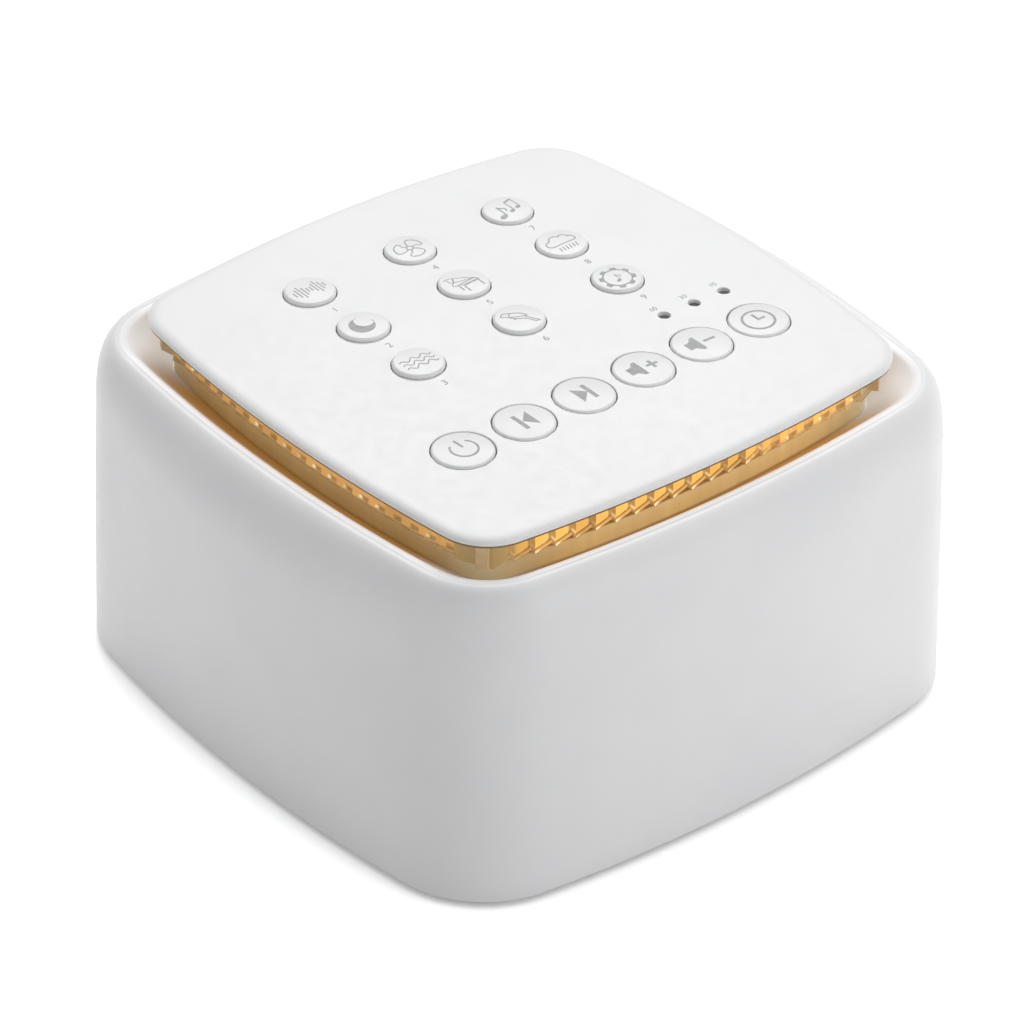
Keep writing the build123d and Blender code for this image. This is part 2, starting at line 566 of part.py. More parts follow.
# ---- Control board ----
def control_board():
    """Board under the keys, cut round the panel's bosses."""
    board = BOARD.block(BOARD_UNDER_Z, BOARD_Z)
    for x, y in corners(PANEL_SCREW_SPAN):
        hole = Cylinder(PANEL_BOSS_RADIUS + 2 * FIT_GAP, BOARD_THICKNESS, align=BOTTOM)
        board -= Pos(x, y, BOARD_UNDER_Z) * hole
    for x, y in board_screw_places():
        board -= clearance(x, y, BOARD_UNDER_Z, BOARD_Z)
    return board


def board_screws():
    """Screws down through the control board into the inner housing's pads."""
    return [screw(x, y, BOARD_Z, FIT_GAP - BOARD_THICKNESS - SCREW_BITE) for x, y in board_screw_places()]


def tact_switches():
    """One switch body under each key, with a well for its plunger."""
    bodies = []
    floor = PRESS_Z - PLUNGER_LENGTH - KEY_TRAVEL - PLUNGER_ROOM - BOARD_Z
    for key in keys():
        body = Box(SWITCH_WIDTH, SWITCH_WIDTH, SWITCH_HEIGHT, align=BOTTOM)
        body = chamfer(body.edges().filter_by(Axis.Z), SWITCH_CORNER)
        well = Cylinder(PLUNGER_RADIUS + PLUNGER_GAP, SWITCH_HEIGHT - floor, align=BOTTOM)
        bodies.append(Pos(key.x, key.y, BOARD_Z) * (body - Pos(0, 0, floor) * well))
    return bodies


def accent_lights():
    """Side-firing light chips along the control board's four bowed edges."""
    chips = []
    centre = BOARD.half - BOARD.bow
    reach = BOARD.bow - LED_WIDTH / 2 - LED_EDGE
    for quarter in range(4):
        for place in range(LED_PER_SIDE):
            offset = LED_SPAN * (2 * place / (LED_PER_SIDE - 1) - 1)
            angle = asin(offset / reach)
            chip = Box(LED_WIDTH, LED_LENGTH, LED_HEIGHT, align=BOTTOM)
            seat = Pos(centre + reach * cos(angle), offset, BOARD_Z) * Rot(0, 0, degrees(angle))
            chips.append(Rot(0, 0, 90 * quarter) * seat * chip)
    return chips


def timer_lights():
    """Light chips under the timer's pipes."""
    chip = Box(CHIP_LENGTH, CHIP_WIDTH, CHIP_HEIGHT, align=BOTTOM)
    return [Pos(x, y, BOARD_Z) * chip for x, y in timer_places()]


# ---- Speaker, facing down over the grille ----
def turned(*points):
    """A turned piece on the speaker's axis, from its profile's radii and heights."""
    profile = make_face(Polyline(*[(radius, 0, z) for radius, z in points], close=True))
    return Pos(0, SPEAKER_Y, 0) * revolve(profile, Axis.Z)


def speaker_frame():
    """Basket with a flange, a shelf for the spider, windows and a top that carries the magnet."""
    flange_top = FLANGE_Z + FLANGE_THICKNESS
    shelf_z = FLANGE_Z + SHELF_RISE
    mouth = ROLL_OUTER + SEAT_GAP
    neck = SHELF_RADIUS + SHELF_WIDTH
    gap = COIL_RADIUS + COIL_WALL + COIL_GAP
    frame = turned(
        (mouth, FLANGE_Z), (FLANGE_RADIUS, FLANGE_Z), (FLANGE_RADIUS, flange_top),
        (mouth + BASKET_WALL, flange_top), (neck + BASKET_WALL, shelf_z),
        (neck + BASKET_WALL, shelf_z + BASKET_WALL), (SHELF_RADIUS, shelf_z + BASKET_WALL),
        (SHELF_RADIUS, BASKET_TOP_Z + BASKET_WALL), (gap, BASKET_TOP_Z + BASKET_WALL), (gap, BASKET_TOP_Z),
        (SHELF_RADIUS - BASKET_WALL, BASKET_TOP_Z), (SHELF_RADIUS - BASKET_WALL, shelf_z),
        (neck, shelf_z), (mouth, flange_top),
    )
    height = SHELF_RISE - FLANGE_THICKNESS - 2 * BASKET_WALL
    window = Box(FLANGE_RADIUS, WINDOW_WIDTH, height, align=(Align.MIN, Align.CENTER, Align.MIN))
    for turn in range(WINDOW_COUNT):
        spin = Pos(0, SPEAKER_Y, flange_top + BASKET_WALL) * Rot(0, 0, turn * 360 / WINDOW_COUNT)
        frame -= spin * Pos(SHELF_RADIUS, 0, 0) * window
    for x, y in speaker_screw_places():
        frame -= clearance(x, y, FLANGE_Z, flange_top)
    return frame


def speaker_gasket():
    """Foam ring between the flange and the base plate."""
    inner = ROLL_OUTER + ROLL_LIP + FIT_GAP
    ring = turned((inner, PLATE_Z), (FLANGE_RADIUS, PLATE_Z), (FLANGE_RADIUS, FLANGE_Z), (inner, FLANGE_Z))
    for x, y in speaker_screw_places():
        ring -= clearance(x, y, PLATE_Z, FLANGE_Z)
    return ring


def speaker_magnet():
    """Ring magnet on the basket."""
    low = BASKET_TOP_Z + BASKET_WALL
    high = low + MAGNET_HEIGHT
    return turned((MAGNET_BORE, low), (MAGNET_RADIUS, low), (MAGNET_RADIUS, high), (MAGNET_BORE, high))


def speaker_yoke():
    """Back plate and pole piece, down through the magnet into the voice coil."""
    seat = BASKET_TOP_Z + BASKET_WALL + MAGNET_HEIGHT
    top = seat + YOKE_THICKNESS
    return turned(
        (0, BASKET_TOP_Z), (POLE_RADIUS, BASKET_TOP_Z), (POLE_RADIUS, seat),
        (YOKE_RADIUS, seat), (YOKE_RADIUS, top), (0, top),
    )


def cone_z(radius):
    """Height of the cone's front face at a radius."""
    return FLANGE_Z + CONE_DEPTH * (CONE_RADIUS - radius) / (CONE_RADIUS - CONE_NECK)


def speaker_cone():
    """Paper cone from the surround up to the voice coil."""
    return turned(
        (CONE_RADIUS, cone_z(CONE_RADIUS)), (CONE_RADIUS, cone_z(CONE_RADIUS) + CONE_WALL),
        (CONE_NECK, cone_z(CONE_NECK) + CONE_WALL), (CONE_NECK, cone_z(CONE_NECK)),
    )


def dust_cap():
    """Domed cap over the cone's throat, bulging toward the grille."""
    rim_z = cone_z(CAP_RADIUS) - CONE_WALL
    ball = (CAP_RADIUS**2 + CAP_RISE**2) / (2 * CAP_RISE)
    centre = rim_z - CAP_RISE + ball
    turn = asin(CAP_RADIUS / ball)
    arcs = []
    for radius in (ball, ball - CONE_WALL):
        ends = [(radius * sin(a), 0, centre - radius * cos(a)) for a in (0, turn / 2, turn)]
        arcs.append(ThreePointArc(*ends))
    sides = [Line(arcs[0] @ 1, arcs[1] @ 1), Line(arcs[0] @ 0, arcs[1] @ 0)]
    profile = make_face(Wire([piece.edge() for piece in (*arcs, *sides)]))
    return Pos(0, SPEAKER_Y, 0) * revolve(profile, Axis.Z)


def voice_coil():
    """Coil and its former, from the cone's throat up round the pole."""
    low = cone_z(CONE_NECK) - CONE_WALL
    high = low + COIL_LENGTH
    wall = COIL_RADIUS + COIL_WALL
    return turned((COIL_RADIUS, low), (wall, low), (wall, high), (COIL_RADIUS, high))


def speaker_surround():
    """Half-roll of rubber from the cone's edge to the flange, with a flat lip on each side."""
    low = FLANGE_Z - ROLL_WALL
    middle = ROLL_OUTER - ROLL_RADIUS
    width = ROLL_LIP + ROLL_WALL
    lips = [
        turned((edge, low), (edge + width, low), (edge + width, FLANGE_Z), (edge, FLANGE_Z))
        for edge in (ROLL_OUTER - ROLL_WALL, CONE_RADIUS - ROLL_LIP)
    ]
    half_ring = Pos(middle, 0) * (Circle(ROLL_RADIUS) - Circle(ROLL_RADIUS - ROLL_WALL))
    half_ring &= Pos(middle, ROLL_RADIUS) * Rectangle(4 * ROLL_RADIUS, 2 * ROLL_RADIUS)
    roll = Pos(0, SPEAKER_Y, low) * revolve(Plane.XZ * half_ring, Axis.Z)
    return roll + lips[0] + lips[1]


def speaker_spider():
    """Corrugated ring from the voice coil to the basket's shelf."""
    high = FLANGE_Z + SHELF_RISE
    outer = SHELF_RADIUS + SHELF_WIDTH - FIT_GAP
    fold = (SHELF_RADIUS - CONE_NECK) / SPIDER_FOLDS
    steps = [CONE_NECK + fold * n for n in range(SPIDER_FOLDS + 1)]
    tops = [(r, high - (SPIDER_WAVE if n % 2 and n < SPIDER_FOLDS else 0)) for n, r in enumerate(steps)]
    tops.append((outer, high))
    return turned(*tops, *[(r, z - SPIDER_WALL) for r, z in reversed(tops)])


def speaker_screws():
    """Screws down through the flange and the gasket into the base plate."""
    reach = FLANGE_THICKNESS + GASKET_THICKNESS + SPEAKER_SCREW_BITE - FIT_GAP
    return [screw(x, y, FLANGE_Z + FLANGE_THICKNESS, -reach) for x, y in speaker_screw_places()]


# ---- Main board and power inlet ----
def main_board():
    """Main board behind the speaker, its back edge bowed like the wall."""
    board = PLATE.inset(BOARD_GAP).block(MAIN_UNDER_Z, MAIN_Z)
    room = Pos(0, MAIN_FRONT, MAIN_UNDER_Z) * Box(
        MAIN_WIDTH, PLATE.half, MAIN_THICKNESS, align=(Align.CENTER, Align.MIN, Align.MIN)
    )
    board &= room
    for x, y in standoff_places():
        board -= clearance(x, y, MAIN_UNDER_Z, MAIN_Z)
    return board


def main_board_screws():
    """Screws down through the main board into the base plate's standoffs."""
    return [screw(x, y, MAIN_Z, FIT_GAP - MAIN_THICKNESS - SCREW_BITE) for x, y in standoff_places()]


def inlet_plane():
    """Plane across the inlet's mouth, looking into the unit."""
    return Plane(origin=(0, wall_half(SOCKET_Z) - SOCKET_SET_IN, SOCKET_Z), z_dir=(0, -1, 0), x_dir=(1, 0, 0))


def power_socket():
    """Metal shell of the reversible power socket."""
    hole = SlotOverall(SOCKET_WIDTH - 2 * SOCKET_WALL, SOCKET_HEIGHT - 2 * SOCKET_WALL)
    return extrude(inlet_plane() * (SlotOverall(SOCKET_WIDTH, SOCKET_HEIGHT) - hole), SOCKET_LENGTH)


def socket_tongue():
    """Contact tongue on the block that closes the back of the socket."""
    slack = SOCKET_WALL + SEAT_GAP
    block = SlotOverall(SOCKET_WIDTH - 2 * slack, SOCKET_HEIGHT - 2 * slack)
    back = inlet_plane().offset(SOCKET_LENGTH - SOCKET_BACK)
    front = inlet_plane().offset(TONGUE_SET_IN)
    tongue = extrude(front * Rectangle(TONGUE_WIDTH, TONGUE_THICKNESS), SOCKET_LENGTH - TONGUE_SET_IN)
    return extrude(back * block, SOCKET_BACK) + tongue


def ribbon_cable():
    """Flat cable with a plug at each end, from the main board up to the control board."""
    plug_size = (RIBBON_WIDTH, RIBBON_PLUG_THICKNESS, RIBBON_PLUG_HEIGHT)
    low, high = MAIN_Z + RIBBON_PLUG_HEIGHT / 2, BOARD_UNDER_Z - RIBBON_PLUG_HEIGHT / 2
    third = (high - low) / 3
    route = FilletPolyline(
        (RIBBON_X, RIBBON_Y - RIBBON_JOG, low), (RIBBON_X, RIBBON_Y - RIBBON_JOG, low + third),
        (RIBBON_X, RIBBON_Y, high - third), (RIBBON_X, RIBBON_Y, high), radius=RIBBON_BEND,
    )
    start = Plane(origin=route @ 0, z_dir=(0, 0, 1), x_dir=(1, 0, 0))
    strip = sweep(start * Rectangle(RIBBON_WIDTH - 2 * RIBBON_MARGIN, RIBBON_THICKNESS), path=route)
    low_plug = Pos(RIBBON_X, RIBBON_Y - RIBBON_JOG, MAIN_Z) * Box(*plug_size, align=BOTTOM)
    return strip + low_plug + Pos(RIBBON_X, RIBBON_Y, BOARD_UNDER_Z) * Box(*plug_size, align=TOP)


def build():
    """Writes every piece as its own node."""
    os.makedirs("parts", exist_ok=True)
    pieces = [
        outer_shell, base_plate, rubber_feet, base_screws, inner_housing, housing_screws, light_guide,
        top_panel, panel_screws, light_pipes, control_board, board_screws, tact_switches, accent_lights,
        timer_lights, speaker_frame, speaker_gasket, speaker_magnet, speaker_yoke, speaker_cone, dust_cap,
        voice_coil, speaker_surround, speaker_spider, speaker_screws, main_board, main_board_screws,
        power_socket, socket_tongue, ribbon_cable,
    ]
    for piece in pieces:
        save(piece.__name__, piece())
    for key in keys():
        save(f"key_{key.name}", keycap(key))
        save(f"plunger_{key.name}", plunger(key))


build()
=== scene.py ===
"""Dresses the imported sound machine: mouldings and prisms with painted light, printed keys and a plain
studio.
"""

import logging
import math
from dataclasses import astuple, dataclass
from enum import Enum
from typing import Callable, Iterable, Sequence

import bmesh
import bpy
from mathutils import Matrix, Vector
from mathutils.geometry import delaunay_2d_cdt


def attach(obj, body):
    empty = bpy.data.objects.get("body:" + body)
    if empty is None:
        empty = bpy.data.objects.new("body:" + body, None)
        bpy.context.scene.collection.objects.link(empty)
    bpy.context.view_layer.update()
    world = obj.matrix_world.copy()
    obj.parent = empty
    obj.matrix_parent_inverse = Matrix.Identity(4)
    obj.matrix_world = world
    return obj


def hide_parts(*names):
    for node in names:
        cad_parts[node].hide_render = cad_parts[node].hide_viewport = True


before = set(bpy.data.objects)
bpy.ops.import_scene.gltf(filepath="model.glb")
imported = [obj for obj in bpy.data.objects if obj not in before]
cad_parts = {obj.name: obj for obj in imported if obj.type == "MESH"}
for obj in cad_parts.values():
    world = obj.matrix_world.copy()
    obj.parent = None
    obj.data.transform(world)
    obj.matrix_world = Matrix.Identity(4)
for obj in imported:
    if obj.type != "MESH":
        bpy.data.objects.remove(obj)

log = logging.getLogger("sound_machine")

MM = 0.001
CASING = "casing"
"""The body that every piece made here rides on, apart from the keys."""

SIDE_STEPS, CORNER_STEPS = 44, 18
CORNERS = ((-1, -1), (-1, 1), (1, -1), (1, 1))
SCREW_BORE = 0.00115
Point = tuple[float, float]
Colour = tuple[float, float, float]
Socket = bpy.types.NodeSocket


class KeyRow(Enum):
    """The two groups of keys, each with how far its print is off the middle of a key, in metres."""

    CONTROLS = (0.00019, 0.00023)
    SOUNDS = (-0.00016, -0.00019)


# ---------------------------------------------------------------- outlines


def polar(radius: float, angle: float, x: float = 0.0, y: float = 0.0) -> Point:
    """The place at an angle on a circle."""
    return x + radius * math.cos(angle), y + radius * math.sin(angle)


def rounding(steps: int, first: int = 1) -> list[Point]:
    """Steps down a rounded edge: how far in and how far down, each as a share of its radius."""
    turns = [math.pi / 2 * n / steps for n in range(first, steps + 1)]
    return [(1 - math.sin(turn), 1 - math.cos(turn)) for turn in turns]


def spun(points: Iterable[Point], degrees: float) -> list[Point]:
    """Points turned about the middle."""
    turn = Matrix.Rotation(math.radians(degrees), 2)
    return [tuple(turn @ Vector(point)) for point in points]


@dataclass(frozen=True)
class Outline:
    """A square with bowed sides and rounded corners, seen from above, in metres."""

    half: float
    bow: float
    corner: float

    def inset(self, gap: float) -> "Outline":
        """The parallel outline that lies a gap inside this one."""
        return Outline(self.half - gap, self.bow - gap, self.corner - gap)

    def toward(self, other: "Outline", share: float) -> "Outline":
        """The outline that is a share of the way from this one to another.

        Args:
            other: The outline at a share of one.
            share: How far to go, from zero to one.

        Returns:
            The outline in between.
        """
        return Outline(*[a + (b - a) * share for a, b in zip(astuple(self), astuple(other))])

    def corner_centre(self) -> float:
        """X and Y of the centre of the corner's arc.

        Returns:
            One number, as both are the same.
        """
        centre = self.half - self.bow
        reach = self.bow - self.corner
        return (centre + math.sqrt(2 * reach**2 - centre**2)) / 2

    def diagonal(self) -> float:
        """Distance from the middle to the outline, along the diagonal."""
        return self.corner_centre() * math.sqrt(2) + self.corner

    def points(self) -> list[Point]:
        """Points round the outline from its +X side, the same number for every outline.

        Returns:
            The points in order.
        """
        middle = self.corner_centre()
        centre = self.half - self.bow
        turn = math.atan2(middle, middle - centre)
        arc = [polar(self.bow, turn * (2 * n / SIDE_STEPS - 1), centre) for n in range(SIDE_STEPS)]
        for n in range(CORNER_STEPS):
            angle = turn + (math.pi / 2 - 2 * turn) * n / CORNER_STEPS
            arc.append(polar(self.corner, angle, middle, middle))
        ring = list(arc)
        for _ in range(3):
            arc = [(-y, x) for x, y in arc]
            ring.extend(arc)
        return ring

    def level(self, z: float) -> list[Vector]:
        """The outline's points at one height."""
        return [Vector((x, y, z)) for x, y in self.points()]


BASE = Outline(0.0568, 0.263, 0.0182)
WALL = Outline(0.0572, 0.179, 0.0199)
CREST = Outline(0.0509, 0.298, 0.0122)
HOUSING = Outline(0.0434, 0.229, 0.0065)
PANEL = Outline(0.0469, 0.249, 0.0094)
WELL_FLOOR = HOUSING.inset(-0.00025)
LEDGE_MOUTH = Outline(0.0383, 0.2239, 0.006)
GUIDE_ROOT = Outline(0.0427, 0.300, 0.0)
GUIDE_INNER = Outline(0.0397, 0.300, 0.003)
ROOT_CORNER = GUIDE_ROOT.corner_centre()

SHELL_Z, WALL_Z, CREST_Z = 0.0012, 0.0458, 0.0568
LEDGE_Z, LEDGE_UNDER_Z = 0.0513, 0.0493
DECK_Z, CROWN_Z = 0.0548, 0.0626
PRESS_Z = 0.0595
DOME_RADIUS = 1.364
MEAN_BOW = 0.26
PANEL_THICKNESS = 0.0015


def dome_z(x: float, y: float, depth: float = 0.0) -> float:
    """Height of the panel's outer face at a place, or of the ball a depth below it."""
    return CROWN_Z - DOME_RADIUS + math.sqrt((DOME_RADIUS - depth) ** 2 - x**2 - y**2)


def draped(points: Iterable[Point], drop: float = 0.0, depth: float = 0.0) -> list[Vector]:
    """Points laid on the dome, or on the ball a depth below it, and lowered by a drop."""
    return [Vector((x, y, dome_z(x, y, depth) - drop)) for x, y in points]


# ---------------------------------------------------------------- mesh building


class Skin:
    """A closed mesh that is put together loop by loop."""

    def __init__(self) -> None:
        """Starts with no points."""
        self.points: list[Vector] = []
        self.faces: list[tuple[int, ...]] = []

    def loop(self, points: Iterable[Sequence[float]]) -> list[int]:
        """Adds points and returns their numbers.

        Args:
            points: The loop's points in order.

        Returns:
            The numbers.
        """
        start = len(self.points)
        self.points.extend(Vector(point) for point in points)
        return list(range(start, len(self.points)))

    def bridge(self, low: list[int], high: list[int]) -> None:
        """Joins two loops of the same length with quads, or a loop and a single point with triangles.

        Args:
            low: Numbers of one loop's points.
            high: Numbers of the other's.
        """
        count = max(len(low), len(high))
        for here in range(count):
            after = (here + 1) % count
            ends = ((low, here), (low, after), (high, after), (high, here))
            face = tuple(dict.fromkeys(loop[n % len(loop)] for loop, n in ends))
            if len(face) > 2:
                self.faces.append(face)

    def stack(self, loops: list[list[int]], closed: bool = False) -> None:
        """Joins a run of loops, and the last to the first if it is closed."""
        for low, high in zip(loops, loops[1:] + (loops[:1] if closed else [])):
            self.bridge(low, high)

    def block(self, low: Iterable[Sequence[float]], high: Iterable[Sequence[float]]) -> None:
        """Adds the solid between two flat loops of the same length.

        Args:
            low: Points of one loop.
            high: Points of the other.
        """
        loops = [self.loop(low), self.loop(high)]
        self.stack(loops)
        self.faces.extend(tuple(loop) for loop in loops)

    def turned(self, centre: Point, profile: Sequence[Point], segments: int) -> None:
        """Adds a turned solid.

        Args:
            centre: Where its upright axis stands.
            profile: Radii and heights along the section, closed unless both ends are on the axis.
            segments: Faces round the axis.
        """
        loops = []
        for radius, z in profile:
            angles = [2 * math.pi * n / segments for n in range(segments if radius > 0 else 1)]
            loops.append(self.loop((*polar(radius, angle, *centre), z) for angle in angles))
        self.stack(loops, closed=profile[0][0] > 0 or profile[-1][0] > 0)

    def bosses(self, span: float, low: Point, high: Point, segments: int) -> None:
        """Adds a hollow screw boss in each corner.

        Args:
            span: X and Y of the bosses.
            low: Radius and height of the lower end.
            high: Radius and height of the upper end.
            segments: Faces round each boss.
        """
        for x, y in CORNERS:
            profile = (low, high, (SCREW_BORE, high[1]), (SCREW_BORE, low[1]))
            self.turned((x * span, y * span), profile, segments)

    def build(self, name: str, sharp: float = 35.0) -> bpy.types.Object:
        """Makes the mesh object.

        Args:
            name: The piece's name.
            sharp: Edges that turn more than this many degrees stay sharp.

        Returns:
            The new object, at the origin.
        """
        mesh = bpy.data.meshes.new(name)
        mesh.from_pydata(self.points, [], self.faces)
        work = bmesh.new()
        work.from_mesh(mesh)
        bmesh.ops.recalc_face_normals(work, faces=work.faces)
        work.to_mesh(mesh)
        work.free()
        smooth(mesh, sharp)
        return put(name, mesh)


def put(name: str, data: bpy.types.ID) -> bpy.types.Object:
    """Puts a new object in the scene.

    Args:
        name: The object's name.
        data: Its mesh, light, camera or letters.

    Returns:
        The object.
    """
    thing = bpy.data.objects.new(name, data)
    bpy.context.scene.collection.objects.link(thing)
    return thing


def final_mesh(thing: bpy.types.Object) -> bpy.types.Mesh:
    """The mesh that an object ends up with.

    Args:
        thing: The object, with its modifiers or as letters.

    Returns:
        A new mesh.
    """
    bpy.context.view_layer.update()
    graph = bpy.context.evaluated_depsgraph_get()
    return bpy.data.meshes.new_from_object(thing.evaluated_get(graph))


def smooth(mesh: bpy.types.Mesh, sharp: float) -> None:
    """Shades a mesh smooth, apart from edges that turn more than so many degrees."""
    mesh.shade_smooth()
    mesh.set_sharp_from_angle(angle=math.radians(sharp))


def cut(piece: bpy.types.Object, cutter: bpy.types.Object, sharp: float) -> None:
    """Cuts one closed mesh out of another, throws the cutter away and shades the rest smooth.

    Args:
        piece: The object that keeps the rest.
        cutter: The object that is cut out.
        sharp: Edges that turn more than this many degrees stay sharp.
    """
    modifier = piece.modifiers.new("cut", "BOOLEAN")
    modifier.operation = "DIFFERENCE"
    modifier.solver = "EXACT"
    modifier.object = cutter
    result = final_mesh(piece)
    piece.modifiers.clear()
    piece.data = result
    smooth(result, sharp)
    bpy.data.objects.remove(cutter)


def middle(points: Sequence[Vector], face: Sequence[int]) -> Vector:
    """The middle of a face's corners."""
    return sum((points[i] for i in face), Vector((0, 0))) / len(face)


def flat_triangles(
    loops: Sequence[Sequence[Point]], extra: Sequence[Point], keep: Callable[[float, float], bool]
) -> tuple[list[Point], list[tuple[int, ...]], dict[int, int]]:
    """Fills loops with triangles.

    Args:
        loops: Closed loops whose edges are kept.
        extra: More points to use inside.
        keep: Says whether a triangle with its middle at a place is wanted.

    Returns:
        The points, the triangles, and the number of each given loop point among the points.
    """
    given = [Vector(point) for loop in [*loops, extra] for point in loop]
    edges = []
    start = 0
    for loop in loops:
        count = len(loop)
        edges.extend((start + i, start + (i + 1) % count) for i in range(count))
        start += count
    points, _, faces, origins, _, _ = delaunay_2d_cdt(given, edges, [], 0, 1e-9)
    numbers = {old: new for new, olds in enumerate(origins) for old in olds}
    wanted = [tuple(face) for face in faces if keep(*middle(points, face))]
    return [tuple(point) for point in points], wanted, numbers


# ---------------------------------------------------------------- finishes


class Sheet:
    """The nodes of a material or a world, laid out one at a time."""

    def __init__(self, name: str, world: bool = False) -> None:
        """Starts an empty material, or an empty world.

        Args:
            name: Its name.
            world: Whether it is a world.
        """
        self.owner = (bpy.data.worlds if world else bpy.data.materials).new(name)
        self.owner.use_nodes = True
        self.tree = self.owner.node_tree
        self.tree.nodes.clear()

    def add(self, kind: str, inputs: dict | None = None, **settings: object) -> bpy.types.Node:
        """Adds a node.

        Args:
            kind: The node's type.
            inputs: Sockets by name or number, each with a value or the socket that feeds it.
            settings: The node's own settings.

        Returns:
            The node.
        """
        node = self.tree.nodes.new(kind)
        for key, value in settings.items():
            setattr(node, key, value)
        for key, value in (inputs or {}).items():
            if isinstance(value, Socket):
                self.tree.links.new(value, node.inputs[key])
            else:
                node.inputs[key].default_value = value
        return node

    def place(self) -> Socket:
        """Coordinates on the piece, in metres."""
        return self.add("ShaderNodeTexCoord").outputs["Object"]

    def axes(self) -> Sequence[Socket]:
        """X, Y and Z on the piece, in metres."""
        return self.add("ShaderNodeSeparateXYZ", {0: self.place()}).outputs

    def written(self, name: str) -> Socket:
        """A number that the mesh carries."""
        return self.add("ShaderNodeAttribute", attribute_name=name).outputs["Fac"]

    def noise(self, scale: float, detail: float = 3.0, vector: Socket | None = None) -> Socket:
        """Cloudy noise from zero to one, with a number of waves to the metre."""
        feed = {"Scale": scale, "Detail": detail, "Vector": vector or self.place()}
        return self.add("ShaderNodeTexNoise", feed).outputs["Fac"]

    def math(self, kind: str, first: object, second: object = 0.0, third: object = 0.0) -> Socket:
        """Result of one sum on one to three values."""
        return self.add("ShaderNodeMath", {0: first, 1: second, 2: third}, operation=kind).outputs[0]

    def times(self, first: object, *others: object) -> Socket:
        """The product of values.

        Args:
            first: One value or socket.
            others: The rest.

        Returns:
            The product.
        """
        for value in others:
            first = self.math("MULTIPLY", first, value)
        return first

    def gap(self, value: Socket, middle: float) -> Socket:
        """How far a value is from another, either way."""
        return self.math("ABSOLUTE", self.math("SUBTRACT", value, middle))

    def seen(self, plain: bpy.types.Node, full: bpy.types.Node) -> bpy.types.Node:
        """One shader for the light itself, and another for what is looked at.

        Args:
            plain: The shader that gives light.
            full: The shader that is seen, straight, mirrored or through glass.

        Returns:
            The node that chooses.
        """
        paths = self.add("ShaderNodeLightPath").outputs
        total = paths["Is Camera Ray"]
        for name in ("Is Glossy Ray", "Is Transmission Ray"):
            feed = {0: total, 1: paths[name]}
            total = self.add("ShaderNodeMath", feed, operation="ADD", use_clamp=True).outputs[0]
        return self.add("ShaderNodeMixShader", {0: total, 1: plain.outputs[0], 2: full.outputs[0]})

    def ease(self, value: Socket, start: float, end: float, low: float = 0.0, high: float = 1.0) -> Socket:
        """A value's smooth passage from low to high as it goes from start to end.

        Args:
            value: What is watched.
            start: Where the passage starts.
            end: Where it ends.
            low: Result at the start.
            high: Result at the end.

        Returns:
            The result.
        """
        feed = {"Value": value, "From Min": start, "From Max": end, "To Min": low, "To Max": high}
        node = self.add("ShaderNodeMapRange", feed, interpolation_type="SMOOTHSTEP")
        return node.outputs["Result"]

    def mix(self, share: object, first: object, second: object) -> Socket:
        """A colour between two colours.

        Args:
            share: How much of the second, from zero to one.
            first: A colour or a socket.
            second: A colour or a socket.

        Returns:
            The mixed colour.
        """
        node = self.add("ShaderNodeMix", data_type="RGBA")
        for number, value in ((0, share), (6, first), (7, second)):
            if isinstance(value, Socket):
                self.tree.links.new(value, node.inputs[number])
            else:
                node.inputs[number].default_value = value if number == 0 else (*value, 1.0)
        return node.outputs[2]

    def ramp(self, value: Socket, stops: Sequence[tuple[float, Colour]]) -> Socket:
        """Colours laid out along a value.

        Args:
            value: What is watched.
            stops: Values from zero to one, each with a colour.

        Returns:
            The colour at the value.
        """
        node = self.add("ShaderNodeValToRGB", {"Fac": value})
        band = node.color_ramp.elements
        while len(band) < len(stops):
            band.new(0.5)
        for element, (position, colour) in zip(band, stops):
            element.position = position
            element.color = (*colour, 1.0)
        return node.outputs["Color"]

    def bump(self, height: Socket, depth: float) -> Socket:
        """A normal that leans with a height, where a full swing is so many metres deep."""
        feed = {"Height": height, "Distance": depth, "Strength": 1.0}
        return self.add("ShaderNodeBump", feed).outputs["Normal"]

    def reaches(self) -> tuple[Socket, Socket, Socket]:
        """Where a point is on the bowed square plan.

        Returns:
            Its distance out towards the nearest side, its distance along that side from the
            middle, and its height, all in metres.
        """
        *flat, height = self.axes()
        x, y = (self.math("ABSOLUTE", part) for part in flat)
        along = self.math("MINIMUM", x, y)
        bowed = self.times(along, along, 1 / (2 * MEAN_BOW))
        return self.math("ADD", self.math("MAXIMUM", x, y), bowed), along, height

    def surface(self, inputs: dict) -> bpy.types.Material:
        """Ends the material in one principled surface.

        Args:
            inputs: Values and sockets by input name.

        Returns:
            The material.
        """
        shader = self.add("ShaderNodeBsdfPrincipled", inputs)
        self.add("ShaderNodeOutputMaterial", {"Surface": shader.outputs[0]})
        return self.owner


